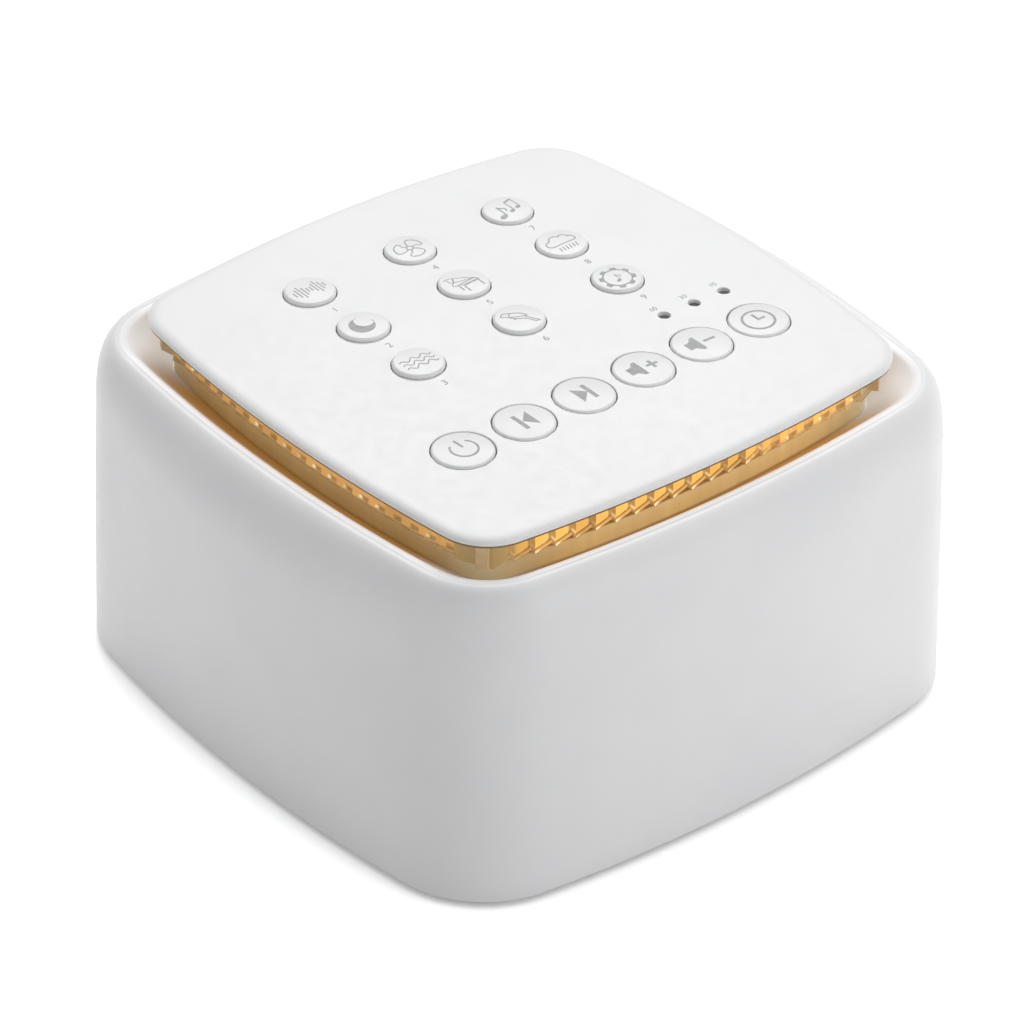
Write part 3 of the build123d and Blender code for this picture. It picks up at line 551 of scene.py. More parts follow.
@dataclass(frozen=True)
class Finish:
    """A surface with mottled colour, uneven gloss and a fine grain."""

    name: str
    colour: Colour
    shade: Colour
    roughness: Point = (0.4, 0.5)
    metallic: float = 0.0
    mottle: float = 60.0
    grain: float = 4500.0
    depth: float = 0.00001
    stretch: Colour = (1.0, 1.0, 1.0)
    specular: float = 0.5
    coat: float = 0.0
    sheen: float = 0.0

    def parts(self, sheet: Sheet) -> dict:
        """Inputs of the principled surface.

        Args:
            sheet: The material to add nodes to.

        Returns:
            Values and sockets by input name.
        """
        place = sheet.add("ShaderNodeMapping", {"Vector": sheet.place(), "Scale": self.stretch}).outputs[0]
        cloud = sheet.noise(self.mottle, 4.0, place)
        gloss = sheet.noise(self.mottle * 7, 3.0, place)
        grain = sheet.noise(self.grain, 2.0, place)
        return {
            "Base Color": sheet.mix(sheet.ease(cloud, 0.3, 0.7), self.colour, self.shade),
            "Roughness": sheet.ease(gloss, 0.3, 0.7, *self.roughness),
            "Normal": sheet.bump(grain, self.depth),
            "Metallic": self.metallic,
            "Specular IOR Level": self.specular,
            "Coat Weight": self.coat,
            "Coat Roughness": 0.1,
            "Sheen Weight": self.sheen,
        }

    def material(self) -> bpy.types.Material:
        """The finished material."""
        sheet = Sheet(self.name)
        return sheet.surface(self.parts(sheet))


STRAIGHT_TEETH = (0.050, 0.062)
"""Where, in X less Y, the teeth on the front come to look flush with the deck's edge."""


@dataclass(frozen=True)
class LitWell(Finish):
    """White plastic with a painted highlight on its rim, whose well has painted amber light beside the guide.

    The mesh says where it is by the attribute "well": none outside, one on the rim, two on the floor.
    """

    # Painted light: glow and strength give the painted amber glow on the well's sides, the amber tint is the
    # same painted light in the base colour, and pale is the painted highlight on the rim and the well's
    # corners.
    glow: Colour = (0.62, 0.30, 0.06)
    strength: float = 0.16
    tint: Colour = (0.44, 0.29, 0.13)
    pale: Colour = (0.92, 0.94, 1.0)

    def parts(self, sheet: Sheet) -> dict:
        """Inputs of the principled surface, by name.

        Args:
            sheet: The material to add nodes to.

        Returns:
            Values and sockets by input name.
        """
        parts = super().parts(sheet)
        well = sheet.written("well")
        _, along, _ = sheet.reaches()
        # Painted amber light on the well's sides, fading towards the corners.
        side = sheet.times(sheet.ease(well, 1.22, 1.45), sheet.ease(along, 0.042, 0.026))
        # Painted highlight along the rim, and painted pale light at the well's corners.
        rim = sheet.times(
            sheet.ease(well, 0.3, 1.0), sheet.ease(well, 1.32, 1.15),
            sheet.ease(along, 0.042, 0.034, 0.07, 0.22),
        )
        corner = sheet.times(sheet.ease(well, 1.1, 1.3), sheet.ease(along, 0.030, 0.040))
        white = sheet.math("MULTIPLY_ADD", corner, 0.13, rim)
        uneven = sheet.ease(sheet.noise(220.0), 0.2, 0.8, 0.85, 1.0)
        parts["Base Color"] = sheet.mix(side, parts["Base Color"], self.tint)
        parts["Emission Color"] = sheet.mix(side, self.pale, self.glow)
        amber = sheet.times(side, uneven)
        parts["Emission Strength"] = sheet.math("MULTIPLY_ADD", amber, self.strength, white)
        return parts


@dataclass(frozen=True)
class LitHousing(Finish):
    """Pale moulding under the guide, with painted amber light along its sides and greyer at its corners: the
    glow, its streaks and the lit strip on the deck are painted light, and the dim side, the foot and the dark
    deck are painted shade.
    """

    # Painted light and shade: glow, deck_lit and their strengths are painted amber light, dim and the dark
    # deck colour are painted shade, and end is the plastic's own pale colour where the painted amber stops.
    glow: Colour = (0.80, 0.54, 0.20)
    strength: float = 0.38
    dim: float = 0.33
    end: Colour = (0.86, 0.85, 0.84)
    deck_lit: Colour = (0.74, 0.40, 0.13)
    deck_strength: float = 0.34
    deck_dull: Colour = (0.36, 0.22, 0.09)

    def parts(self, sheet: Sheet) -> dict:
        """Inputs of the principled surface, by name.

        Args:
            sheet: The material to add nodes to.

        Returns:
            Values and sockets by input name.
        """
        parts = super().parts(sheet)
        _, along, height = sheet.reaches()
        x, y, _ = sheet.axes()
        across = sheet.math("SUBTRACT", x, y)
        # Painted shade on the side turned away from the light, and the plastic's own pale colour at the
        # corners, where the painted amber stops.
        turned = sheet.ease(across, -0.020, 0.025, self.dim, 1.0)
        colour = sheet.mix(sheet.ease(across, 0.074, 0.081), parts["Base Color"], self.end)
        # Painted shade on the deck behind the teeth; its lit strip along the edge is painted light.
        deck = sheet.ease(height, DECK_Z - 0.00008, DECK_Z - 0.00002)
        deck = sheet.times(deck, sheet.ease(along, 0.036, 0.0335))
        parts["Base Color"] = sheet.mix(deck, colour, self.deck_dull)
        edge = sheet.math("MAXIMUM", sheet.ease(across, 0.010, -0.010), sheet.ease(across, *STRAIGHT_TEETH))
        # Painted amber light along the sides, fading towards the corners, with painted light streaks.
        side = sheet.ease(along, 0.0405, 0.020, 0.30, 1.0)
        light_streak_space = sheet.add(
            "ShaderNodeMapping", {"Vector": sheet.place(), "Scale": (1.0, 1.0, 0.04)}
        ).outputs[0]
        painted_light_streak = sheet.ease(sheet.noise(420.0, 2.0, light_streak_space), 0.35, 0.75, 0.86, 1.12)
        # Little painted glow on the deck, and painted shade at the wall's foot.
        top = sheet.ease(height, DECK_Z - 0.0003, DECK_Z - 0.0001, 1.0, 0.15)
        foot = sheet.ease(height, LEDGE_Z + 0.0001, LEDGE_Z + 0.0005, 0.25, 1.0)
        level = sheet.times(turned, self.strength, side, painted_light_streak, top, foot)
        parts["Emission Color"] = sheet.mix(deck, self.glow, self.deck_lit)
        strip = sheet.times(deck, edge)
        parts["Emission Strength"] = sheet.math("MULTIPLY_ADD", strip, self.deck_strength, level)
        return parts


@dataclass(frozen=True)
class LitPrism:
    """Clear acrylic teeth whose amber light from behind is painted in emission, with a painted window, a
    painted bar and a painted spark on each.
    """

    name: str = "lit_prism"
    # Every emission colour here is painted light or painted shade: deep and patch are painted shade, bar and
    # window are painted light, spark is a painted glint, plain is painted light near the corners, and the
    # wall colours and the painted edge line are the housing wall's light and shade painted on the teeth.
    deep: Colour = (0.17, 0.085, 0.02)
    patch: Colour = (0.38, 0.21, 0.07)
    bar: Colour = (0.78, 0.42, 0.14)
    window: Colour = (1.0, 0.54, 0.12)
    spark: Colour = (1.0, 0.90, 0.55)
    plain: Colour = (0.50, 0.34, 0.14)
    wall: Colour = (0.33, 0.21, 0.09)
    bright_wall: Colour = (0.48, 0.33, 0.14)
    seam: Colour = (0.62, 0.36, 0.17)
    lean: float = 1.05
    edge_curve: float = 0.26
    band_height: float = 0.00125

    def material(self) -> bpy.types.Material:
        """The finished material.

        Returns:
            The material.
        """
        sheet = Sheet(self.name)
        along = sheet.written("along")
        chance = sheet.add(
            "ShaderNodeTexWhiteNoise", {"W": sheet.written("serial")}, noise_dimensions="1D"
        ).outputs["Value"]
        out, side, height = sheet.reaches()
        x, y, _ = sheet.axes()
        across = sheet.math("SUBTRACT", x, y)
        turned = sheet.ease(across, -0.020, 0.020)
        rise = sheet.math("SUBTRACT", height, DECK_Z)
        face = self.deep_face(sheet, along, rise, chance, turned)
        over = sheet.math("MULTIPLY_ADD", sheet.times(side, side), self.edge_curve, out)
        over = sheet.math("SUBTRACT", over, HOUSING.half)
        band = sheet.math("DIVIDE", sheet.math("MULTIPLY_ADD", over, -self.lean, rise), self.band_height)
        strip = self.flush_face(sheet, sheet.math("MULTIPLY_ADD", turned, -0.2, along), band, chance, turned)
        share = sheet.times(turned, sheet.ease(across, *STRAIGHT_TEETH, 1.0, 0.0))
        back = sheet.ease(sheet.math("ADD", x, y), -0.004, 0.004)
        face = sheet.mix(sheet.math("MAXIMUM", share, back), strip, face)
        # Painted flecks of light, and plainer painted light near the corners.
        face = sheet.mix(sheet.ease(sheet.noise(1500.0, 2.0), 0.45, 0.75, 0.0, 0.35), face, self.bar)
        face = sheet.mix(sheet.ease(side, 0.0342, 0.0362), face, self.plain)
        # Painted shade: teeth on the side away from the light glow less.
        strength = sheet.times(
            sheet.ease(chance, 0.0, 1.0, 0.82, 1.05), sheet.ease(side, 0.040, 0.030, 0.6, 1.0),
            sheet.ease(turned, 0.0, 1.0, 0.74, 1.0),
        )
        return sheet.surface({
            "Base Color": (0.14, 0.09, 0.04, 1.0),
            "Roughness": sheet.ease(sheet.noise(600.0), 0.3, 0.7, 0.06, 0.18),
            "Normal": sheet.bump(sheet.noise(1500.0), 0.00002),
            "Coat Weight": 0.3,
            "Coat Roughness": 0.05,
            "Emission Color": face,
            "Emission Strength": strength,
        })

    def deep_face(self, sheet: Sheet, along: Socket, rise: Socket, chance: Socket, turned: Socket) -> Socket:
        """Painted light and shade of teeth that are seen down to their roots.

        Args:
            sheet: The material to add nodes to.
            along: Place along the tooth, over one on the face between two teeth.
            rise: Height above the deck, in metres.
            chance: Number from zero to one that each tooth keeps.
            turned: One on the two sides that face the brighter light.

        Returns:
            The colour.
        """
        low = sheet.ramp(sheet.math("DIVIDE", rise, 0.001), (
            (0.0, self.deep), (0.09, self.patch), (0.20, self.bar), (0.40, self.bar),
            (0.55, self.patch), (0.62, self.bar), (0.70, self.patch), (0.78, self.deep),
        ))
        off = sheet.math("DIVIDE", sheet.math("SUBTRACT", rise, 0.0015), 0.0012)
        edge = sheet.math("ADD", along, sheet.times(off, off, 0.12))
        start = sheet.ease(sheet.math("MULTIPLY_ADD", turned, 0.5, along), 0.27, 0.33)
        glass = sheet.mix(sheet.times(sheet.ease(edge, 0.84, 0.78), start), self.patch, self.window)
        long_face = sheet.mix(sheet.ease(rise, 0.00082, 0.00090), low, glass)
        # Painted glint low on each tooth.
        glint = sheet.times(
            sheet.ease(along, 0.42, 0.12), sheet.ease(rise, 0.00055, 0.00035),
            sheet.ease(rise, 0.00003, 0.00012), sheet.ease(chance, 0.0, 0.7, 0.45, 1.0),
            sheet.math("MULTIPLY_ADD", turned, 0.65, 0.35),
        )
        long_face = sheet.mix(glint, long_face, self.spark)
        step_face = sheet.ramp(sheet.math("DIVIDE", rise, 0.0025), (
            (0.0, self.deep), (0.22, self.patch), (0.36, self.bar), (0.42, self.spark),
            (0.50, self.bar), (0.60, self.patch), (1.0, self.patch),
        ))
        step_face = sheet.mix(sheet.ease(chance, 0.35, 0.65, 0.75, 0.15), step_face, self.patch)
        return sheet.mix(sheet.ease(along, 1.2, 1.4), long_face, step_face)

    def flush_face(self, sheet: Sheet, along: Socket, band: Socket, chance: Socket, turned: Socket) -> Socket:
        """Painted light and shade of teeth whose tips hide the deck's edge, with painted shade below the line
        of that edge.

        Args:
            sheet: The material to add nodes to.
            along: Place along the tooth, moved with the light.
            band: Height above the line of the deck's edge, from zero to one.
            chance: Number from zero to one that each tooth keeps.
            turned: One on the two sides that face the brighter light.

        Returns:
            The colour.
        """
        full = sheet.mix(
            turned,
            sheet.ramp(band, ((0.0, self.deep), (0.05, self.deep), (0.09, self.bar), (1.0, self.bar))),
            sheet.ramp(band, (
                (0.0, self.deep), (0.05, self.deep), (0.09, self.bar), (0.40, self.bar), (0.50, self.window),
            )),
        )
        thin = sheet.ramp(band, (
            (0.0, self.seam), (0.16, self.seam), (0.24, self.patch), (0.90, self.patch), (1.0, self.bar),
        ))
        # Painted spark on the thin teeth.
        dot = sheet.times(
            sheet.ease(sheet.gap(along, 0.40), 0.12, 0.04), sheet.ease(sheet.gap(band, 0.55), 0.34, 0.14),
            sheet.ease(chance, 0.45, 0.75),
        )
        strip = sheet.mix(dot, sheet.mix(sheet.ease(along, 0.37, 0.42), full, thin), self.spark)
        # Below the deck's line, the housing wall with its painted light and shade.
        foot = sheet.mix(turned, self.wall, self.bright_wall)
        return sheet.mix(sheet.ease(band, 0.02, 0.05), foot, strip)


@dataclass(frozen=True)
class Woven(Finish):
    """Cloth or felt, with crossed threads."""

    threads: float = 2600.0

    def parts(self, sheet: Sheet) -> dict:
        """Inputs of the principled surface, by name.

        Args:
            sheet: The material to add nodes to.

        Returns:
            Values and sockets by input name.
        """
        parts = super().parts(sheet)
        waves = [
            sheet.add(
                "ShaderNodeTexWave", {"Vector": sheet.place(), "Scale": self.threads / 20, "Distortion": 0.6},
                bands_direction=direction,
            ).outputs["Fac"]
            for direction in ("X", "Y")
        ]
        parts["Normal"] = sheet.bump(sheet.math("MAXIMUM", *waves), 0.00008)
        return parts


@dataclass(frozen=True)
class Striped(Finish):
    """Flat cable whose cores show as ridges across its width."""

    pitch: float = 0.00127

    def parts(self, sheet: Sheet) -> dict:
        """Inputs of the principled surface, by name.

        Args:
            sheet: The material to add nodes to.

        Returns:
            Values and sockets by input name.
        """
        parts = super().parts(sheet)
        core = sheet.math("SINE", sheet.times(sheet.axes()[0], 2 * math.pi / self.pitch))
        parts["Normal"] = sheet.bump(core, 0.0002)
        parts["Base Color"] = sheet.mix(sheet.ease(core, -0.9, -0.4), self.shade, self.colour)
        return parts


WHITE_SHELL = LitWell(
    "white_shell_plastic", (0.86, 0.86, 0.865), (0.835, 0.837, 0.845), (0.40, 0.48), specular=0.45
)
WHITE_PANEL = Finish(
    "white_panel_plastic", (0.875, 0.875, 0.878), (0.855, 0.856, 0.862), (0.36, 0.44), specular=0.45
)
WHITE_KEY = Finish(
    "white_key_plastic", (0.82, 0.82, 0.82), (0.80, 0.801, 0.805), (0.30, 0.38), specular=0.45
)
# The tan base colour is painted amber light on the white plastic; its own pale colour shows at the corners.
HOUSING_PLASTIC = LitHousing("diffuser_white_plastic", (0.75, 0.64, 0.42), (0.72, 0.61, 0.40), (0.35, 0.5))
PRISM = LitPrism()
POST = Finish(
    "guide_post_acrylic", (0.80, 0.58, 0.32), (0.72, 0.50, 0.26), (0.10, 0.2), mottle=300.0, coat=0.5
)
# A dark colour for the ring in the gap under the panel's edge, standing in for its shade: painted shade.
PAINTED_LIP_SHADE = Finish("panel_lip_shade", (0.25, 0.16, 0.08), (0.20, 0.125, 0.06), (0.5, 0.6))
INK = Finish(
    "grey_key_ink", (0.33, 0.33, 0.335), (0.42, 0.42, 0.425), (0.5, 0.65), mottle=900.0, depth=0.000004
)
PANEL_INK = Finish(
    "grey_panel_ink", (0.30, 0.30, 0.305), (0.40, 0.40, 0.405), (0.5, 0.65), mottle=1200.0, depth=0.000004
)
PIPE = Finish(
    "smoked_pipe_acrylic", (0.17, 0.165, 0.16), (0.12, 0.115, 0.11), (0.10, 0.2), mottle=500.0, coat=0.5
)
RUBBER = Finish(
    "foot_rubber_black", (0.035, 0.035, 0.036), (0.055, 0.055, 0.055), (0.7, 0.88), mottle=260.0,
    depth=0.00003,
)
STEEL = Finish(
    "zinc_screw_steel", (0.60, 0.60, 0.58), (0.47, 0.48, 0.48), (0.24, 0.42), 1.0, mottle=900.0,
    grain=9000.0, depth=0.000004,
)
BOARD_GREEN = Finish(
    "solder_mask_green", (0.018, 0.12, 0.045), (0.012, 0.085, 0.035), (0.22, 0.36), mottle=150.0, coat=0.4
)
SWITCH_BLACK = Finish("switch_moulding_black", (0.03, 0.03, 0.032), (0.045, 0.045, 0.045), (0.42, 0.6))
PLUNGER_BLACK = Finish("plunger_black", (0.05, 0.045, 0.042), (0.03, 0.03, 0.03), (0.35, 0.5))
AMBER_CHIP = Finish("amber_light_chip", (0.80, 0.42, 0.09), (0.68, 0.34, 0.07), (0.15, 0.3), coat=0.6)
WHITE_CHIP = Finish("pale_light_chip", (0.78, 0.76, 0.70), (0.66, 0.64, 0.58), (0.2, 0.4), coat=0.4)
FRAME_STEEL = Finish(
    "basket_lacquered_steel", (0.028, 0.028, 0.03), (0.045, 0.045, 0.047), (0.3, 0.45), mottle=350.0,
    coat=0.3, depth=0.00002,
)
FOAM = Finish(
    "gasket_foam", (0.05, 0.05, 0.052), (0.085, 0.085, 0.085), (0.85, 0.97), mottle=1400.0, grain=1800.0,
    depth=0.0003,
)
FERRITE = Finish(
    "magnet_ferrite", (0.085, 0.085, 0.088), (0.13, 0.13, 0.13), (0.5, 0.72), mottle=800.0, depth=0.00003
)
YOKE_STEEL = Finish(
    "yoke_plated_steel", (0.56, 0.53, 0.42), (0.48, 0.46, 0.38), (0.25, 0.4), 1.0, mottle=160.0
)
SURROUND = Finish("surround_rubber", (0.03, 0.03, 0.03), (0.05, 0.05, 0.05), (0.55, 0.7), sheen=0.15)
SPIDER = Woven("spider_varnished_cloth", (0.42, 0.25, 0.09), (0.33, 0.19, 0.07), (0.55, 0.75), sheen=0.2)
CONE_PAPER = Finish(
    "cone_felted_paper", (0.055, 0.053, 0.05), (0.085, 0.082, 0.078), (0.78, 0.92), mottle=900.0,
    grain=2500.0, depth=0.00012, sheen=0.1,
)
COPPER = Finish(
    "coil_enamelled_copper", (0.70, 0.30, 0.13), (0.58, 0.23, 0.09), (0.2, 0.32), 1.0, mottle=300.0,
    grain=5200.0, depth=0.00005, stretch=(0.05, 0.05, 1.0), coat=0.4,
)
RIBBON = Striped("ribbon_cable_grey", (0.52, 0.52, 0.53), (0.33, 0.33, 0.34), (0.42, 0.58))


# ---------------------------------------------------------------- pieces


def finish_piece(
    piece: bpy.types.Object, finish: Finish | LitPrism, body: str, slot: str, *replaced: str
) -> None:
    """Gives a piece its finish and its body, and hides the frame nodes that it stands for.

    Args:
        piece: The mesh object, in place.
        finish: The surface it shows.
        body: The body that it rides on.
        slot: Not used.
        replaced: Frame nodes that it stands for.
    """
    piece.data.materials.clear()
    piece.data.materials.append(dressed(finish))
    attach(piece, body)
    if replaced:
        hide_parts(*replaced)
    log.info("%s: %d faces on %s", piece.name, len(piece.data.polygons), body)


def dressed(finish: Finish | LitPrism) -> bpy.types.Material:
    """The material of a finish, made once."""
    found = bpy.data.materials.get(finish.name)
    return found or finish.material()


@dataclass
class ShellMoulding:
    """Outer shell: bowed walls, rounded shoulder, rim, funnel-shaped well and ledge."""

    wall: float = 0.0024
    edge_ease: float = 0.0004
    shoulder_rise: float = 0.011
    rim_land: float = 0.0003
    rim_radius: float = 0.0018
    rim_wall: float = 0.002
    boss_radius: float = 0.0034
    boss_taper: float = 0.0002
    boss_bite: float = 0.00025
    boss_foot: float = 0.0044
    boss_top: float = 0.0503
    rib: float = 0.0016
    inlet_z: float = 0.01223
    inlet_size: Point = (0.00944, 0.00376)
    shoulder_steps: int = 22
    rim_steps: int = 10
    slope_steps: int = 8
    wall_steps: int = 14

    def slope(self) -> float:
        """Angle of the well's side below level.

        Returns:
            The angle in radians.
        """
        run = CREST.half - self.rim_land - WELL_FLOOR.half
        drop = CREST_Z - self.rim_radius - LEDGE_Z
        return math.atan2(drop, run) + math.asin(self.rim_radius / math.hypot(run, drop))

    def well(self, half: float) -> Outline:
        """Outline of the well where its half width has a given value."""
        return CREST.toward(WELL_FLOOR, (CREST.half - half) / (CREST.half - WELL_FLOOR.half))

    def outside(self) -> list[list[Vector]]:
        """Loops from the lower edge up the wall and over the shoulder to the crest.

        Returns:
            The loops in order.
        """
        ease, foot = self.edge_ease, SHELL_Z + self.edge_ease
        loops = [BASE.inset(ease * gap).level(SHELL_Z + ease * rise) for gap, rise in rounding(3, 0)]
        for step in range(1, self.wall_steps):
            share = step / self.wall_steps
            loops.append(BASE.toward(WALL, share).level(foot + (WALL_Z - foot) * share))
        for step in range(self.shoulder_steps + 1):
            turn = math.pi / 2 * step / self.shoulder_steps
            outline = CREST.toward(WALL, math.cos(turn))
            loops.append(outline.level(WALL_Z + self.shoulder_rise * math.sin(turn)))
        return loops

    def inside_well(self) -> list[list[Vector]]:
        """Loops round the rim, down the funnel and round the ledge.

        Returns:
            The loops in order.
        """
        loops = []
        for step in range(self.rim_steps + 1):
            turn = self.slope() * step / self.rim_steps
            half = CREST.half - self.rim_land - self.rim_radius * math.sin(turn)
            z = CREST_Z - self.rim_radius * (1 - math.cos(turn))
            loops.append(self.well(half).level(z))
        for step in range(1, self.slope_steps + 1):
            share = step / self.slope_steps
            lower = self.well(half + (WELL_FLOOR.half - half) * share)
            loops.append(lower.level(z + (LEDGE_Z - z) * share))
        return loops + [LEDGE_MOUTH.level(LEDGE_Z), LEDGE_MOUTH.level(LEDGE_UNDER_Z)]

    def hollow(self) -> list[list[Vector]]:
        """Loops up behind the well and down the inside of the shoulder and the wall.

        Returns:
            The loops in order.
        """
        slope = self.slope()
        low = WELL_FLOOR.half + self.rim_wall * math.sin(slope)
        low_z = LEDGE_Z - self.rim_wall * math.cos(slope)
        rise = self.shoulder_rise - self.wall
        roof = WALL_Z + rise
        heights = (LEDGE_UNDER_Z, (LEDGE_UNDER_Z + roof) / 2, roof)
        loops = [self.well(low + (z - low_z) / math.tan(slope)).level(z) for z in heights]
        inner = WALL.inset(self.wall)
        for step in range(9):
            turn = math.pi / 2 * (1 - step / 8)
            loops.append(CREST.toward(inner, math.cos(turn)).level(WALL_Z + rise * math.sin(turn)))
        return loops + [BASE.inset(self.wall).level(SHELL_Z)]

    def boss_span(self) -> float:
        """X and Y of the screw bosses in the corners."""
        return (BASE.diagonal() - self.wall - self.boss_radius + self.boss_bite) / math.sqrt(2)

    def build(self) -> None:
        """Builds the shell with its bosses and cuts the inlet."""
        skin = Skin()
        loops = self.outside() + self.inside_well() + self.hollow()
        skin.stack([skin.loop(loop) for loop in loops], closed=True)
        shell = skin.build("shell_moulding", 30.0)
        cut(shell, self.inlet_cutter(), 30.0)
        self.mark(shell.data)
        finish_piece(shell, WHITE_SHELL, CASING, "white_shell", "outer_shell")
        inner = Skin()
        top = (self.boss_radius - self.boss_taper, self.boss_top)
        inner.bosses(self.boss_span(), (self.boss_radius, self.boss_foot), top, 32)
        self.ribs(inner)
        finish_piece(inner.build("shell_bosses"), WHITE_SHELL, CASING, "white_shell")

    def mark(self, mesh: bpy.types.Mesh) -> None:
        """Writes how deep each point of the rim and the well lies, up to two on the floor.

        Args:
            mesh: The shell's mesh.
        """

        def place(point: Iterable[float]) -> tuple[float, ...]:
            """A point's coordinates without the last digits."""
            return tuple(round(value, 6) for value in point)

        # These depths place the painted amber light and the painted rim highlight in the shell's material.
        marked = list(zip((0.25, 0.5, 0.75), self.outside()[-4:-1]))
        for number, loop in enumerate(self.inside_well()):
            rim = 0.3 * min(number, self.rim_steps) / self.rim_steps
            slope = 0.7 * min(max(number - self.rim_steps, 0), self.slope_steps) / self.slope_steps
            marked.append((1 + rim + slope, loop))
        depths = {place(point): depth for depth, loop in marked for point in loop}
        well = mesh.attributes.new("well", "FLOAT", "POINT")
        for vertex in mesh.vertices:
            well.data[vertex.index].value = depths.get(place(vertex.co), 0.0)

    def ribs(self, skin: Skin) -> None:
        """Adds the upright ribs that tie the bosses to the wall.

        Args:
            skin: The mesh that holds the bosses.
        """
        start = self.boss_span() * math.sqrt(2) + self.boss_radius * 0.8
        half = self.rib / 2
        for degrees in (45, 135, 225, 315):
            loops = []
            for outline, z in ((BASE, self.boss_foot), (WALL, WALL_Z)):
                end = outline.diagonal() - self.wall / 2
                plan = ((start, -half), (end, -half), (end, half), (start, half))
                loops.append([(x, y, z) for x, y in spun(plan, degrees)])
            skin.block(*loops)

    def inlet_cutter(self) -> bpy.types.Object:
        """Upright slot with round ends that goes through the back wall.

        Returns:
            The slot as an object.
        """
        width, height = self.inlet_size
        radius = height / 2
        ends = ((width / 2 - radius, -90), (radius - width / 2, 90))
        hull = [point for x, start in ends for point in arc_points(x, 0.0, radius, start, start + 180)]
        skin = Skin()
        skin.block(*([(x, y, self.inlet_z + z) for x, z in hull] for y in (0.050, 0.062)))
        return skin.build("inlet_cutter")


@dataclass(frozen=True)
class KeySpot:
    """A push key: its name, where it stands, its radius and how far it stands proud."""

    name: str
    x: float
    y: float
    radius: float
    proud: float
    row: KeyRow

    @property
    def node(self) -> str:
        """The key's node in the frame."""
        return f"key_{self.name}"

    @property
    def body(self) -> str:
        """The key's body in the frame."""
        return f"{self.name}_key"

    def top(self) -> float:
        """Height of the middle of the key's face."""
        return dome_z(self.x, self.y) + self.proud

    def face_z(self, x: float, y: float) -> float:
        """Height of the key's domed face at a place."""
        return self.fall(math.hypot(x - self.x, y - self.y))

    def fall(self, reach: float) -> float:
        """Height of the key's domed face so far from its middle."""
        return self.top() - KEY_DOME + math.sqrt(KEY_DOME**2 - reach**2)


KEY_DOME = 0.042
KEY_GAP = 0.0002
CONTROL_NAMES = ("power", "previous", "next", "volume_up", "volume_down", "timer")
CONTROL_PITCH, CONTROL_Y = 0.012, -0.0221
SOUND_PITCH, SOUND_MIDDLE = (0.0203, 0.0138), (0.0006, 0.0144)
LIGHT_PITCH, LIGHT_MIDDLE = 0.00625, (0.02605, -0.01205)


def key_spots() -> list[KeySpot]:
    """The row of six large keys and the square of nine small ones.

    Returns:
        The keys, large ones first.
    """
    spots = [
        KeySpot(name, 0.0008 + (n - 2.5) * CONTROL_PITCH, CONTROL_Y, 0.00495, 0.00045, KeyRow.CONTROLS)
        for n, name in enumerate(CONTROL_NAMES)
    ]
    for n in range(9):
        x = SOUND_MIDDLE[0] + (n // 3 - 1) * SOUND_PITCH[0]
        y = SOUND_MIDDLE[1] - (n % 3 - 1) * SOUND_PITCH[1]
        spots.append(KeySpot(f"sound_{n + 1}", x, y, 0.00419, 0.0008, KeyRow.SOUNDS))
    return spots


def timer_spots() -> list[Point]:
    """Places of the timer's three small lights."""
    return [(LIGHT_MIDDLE[0] + n * LIGHT_PITCH, LIGHT_MIDDLE[1]) for n in (-1, 0, 1)]


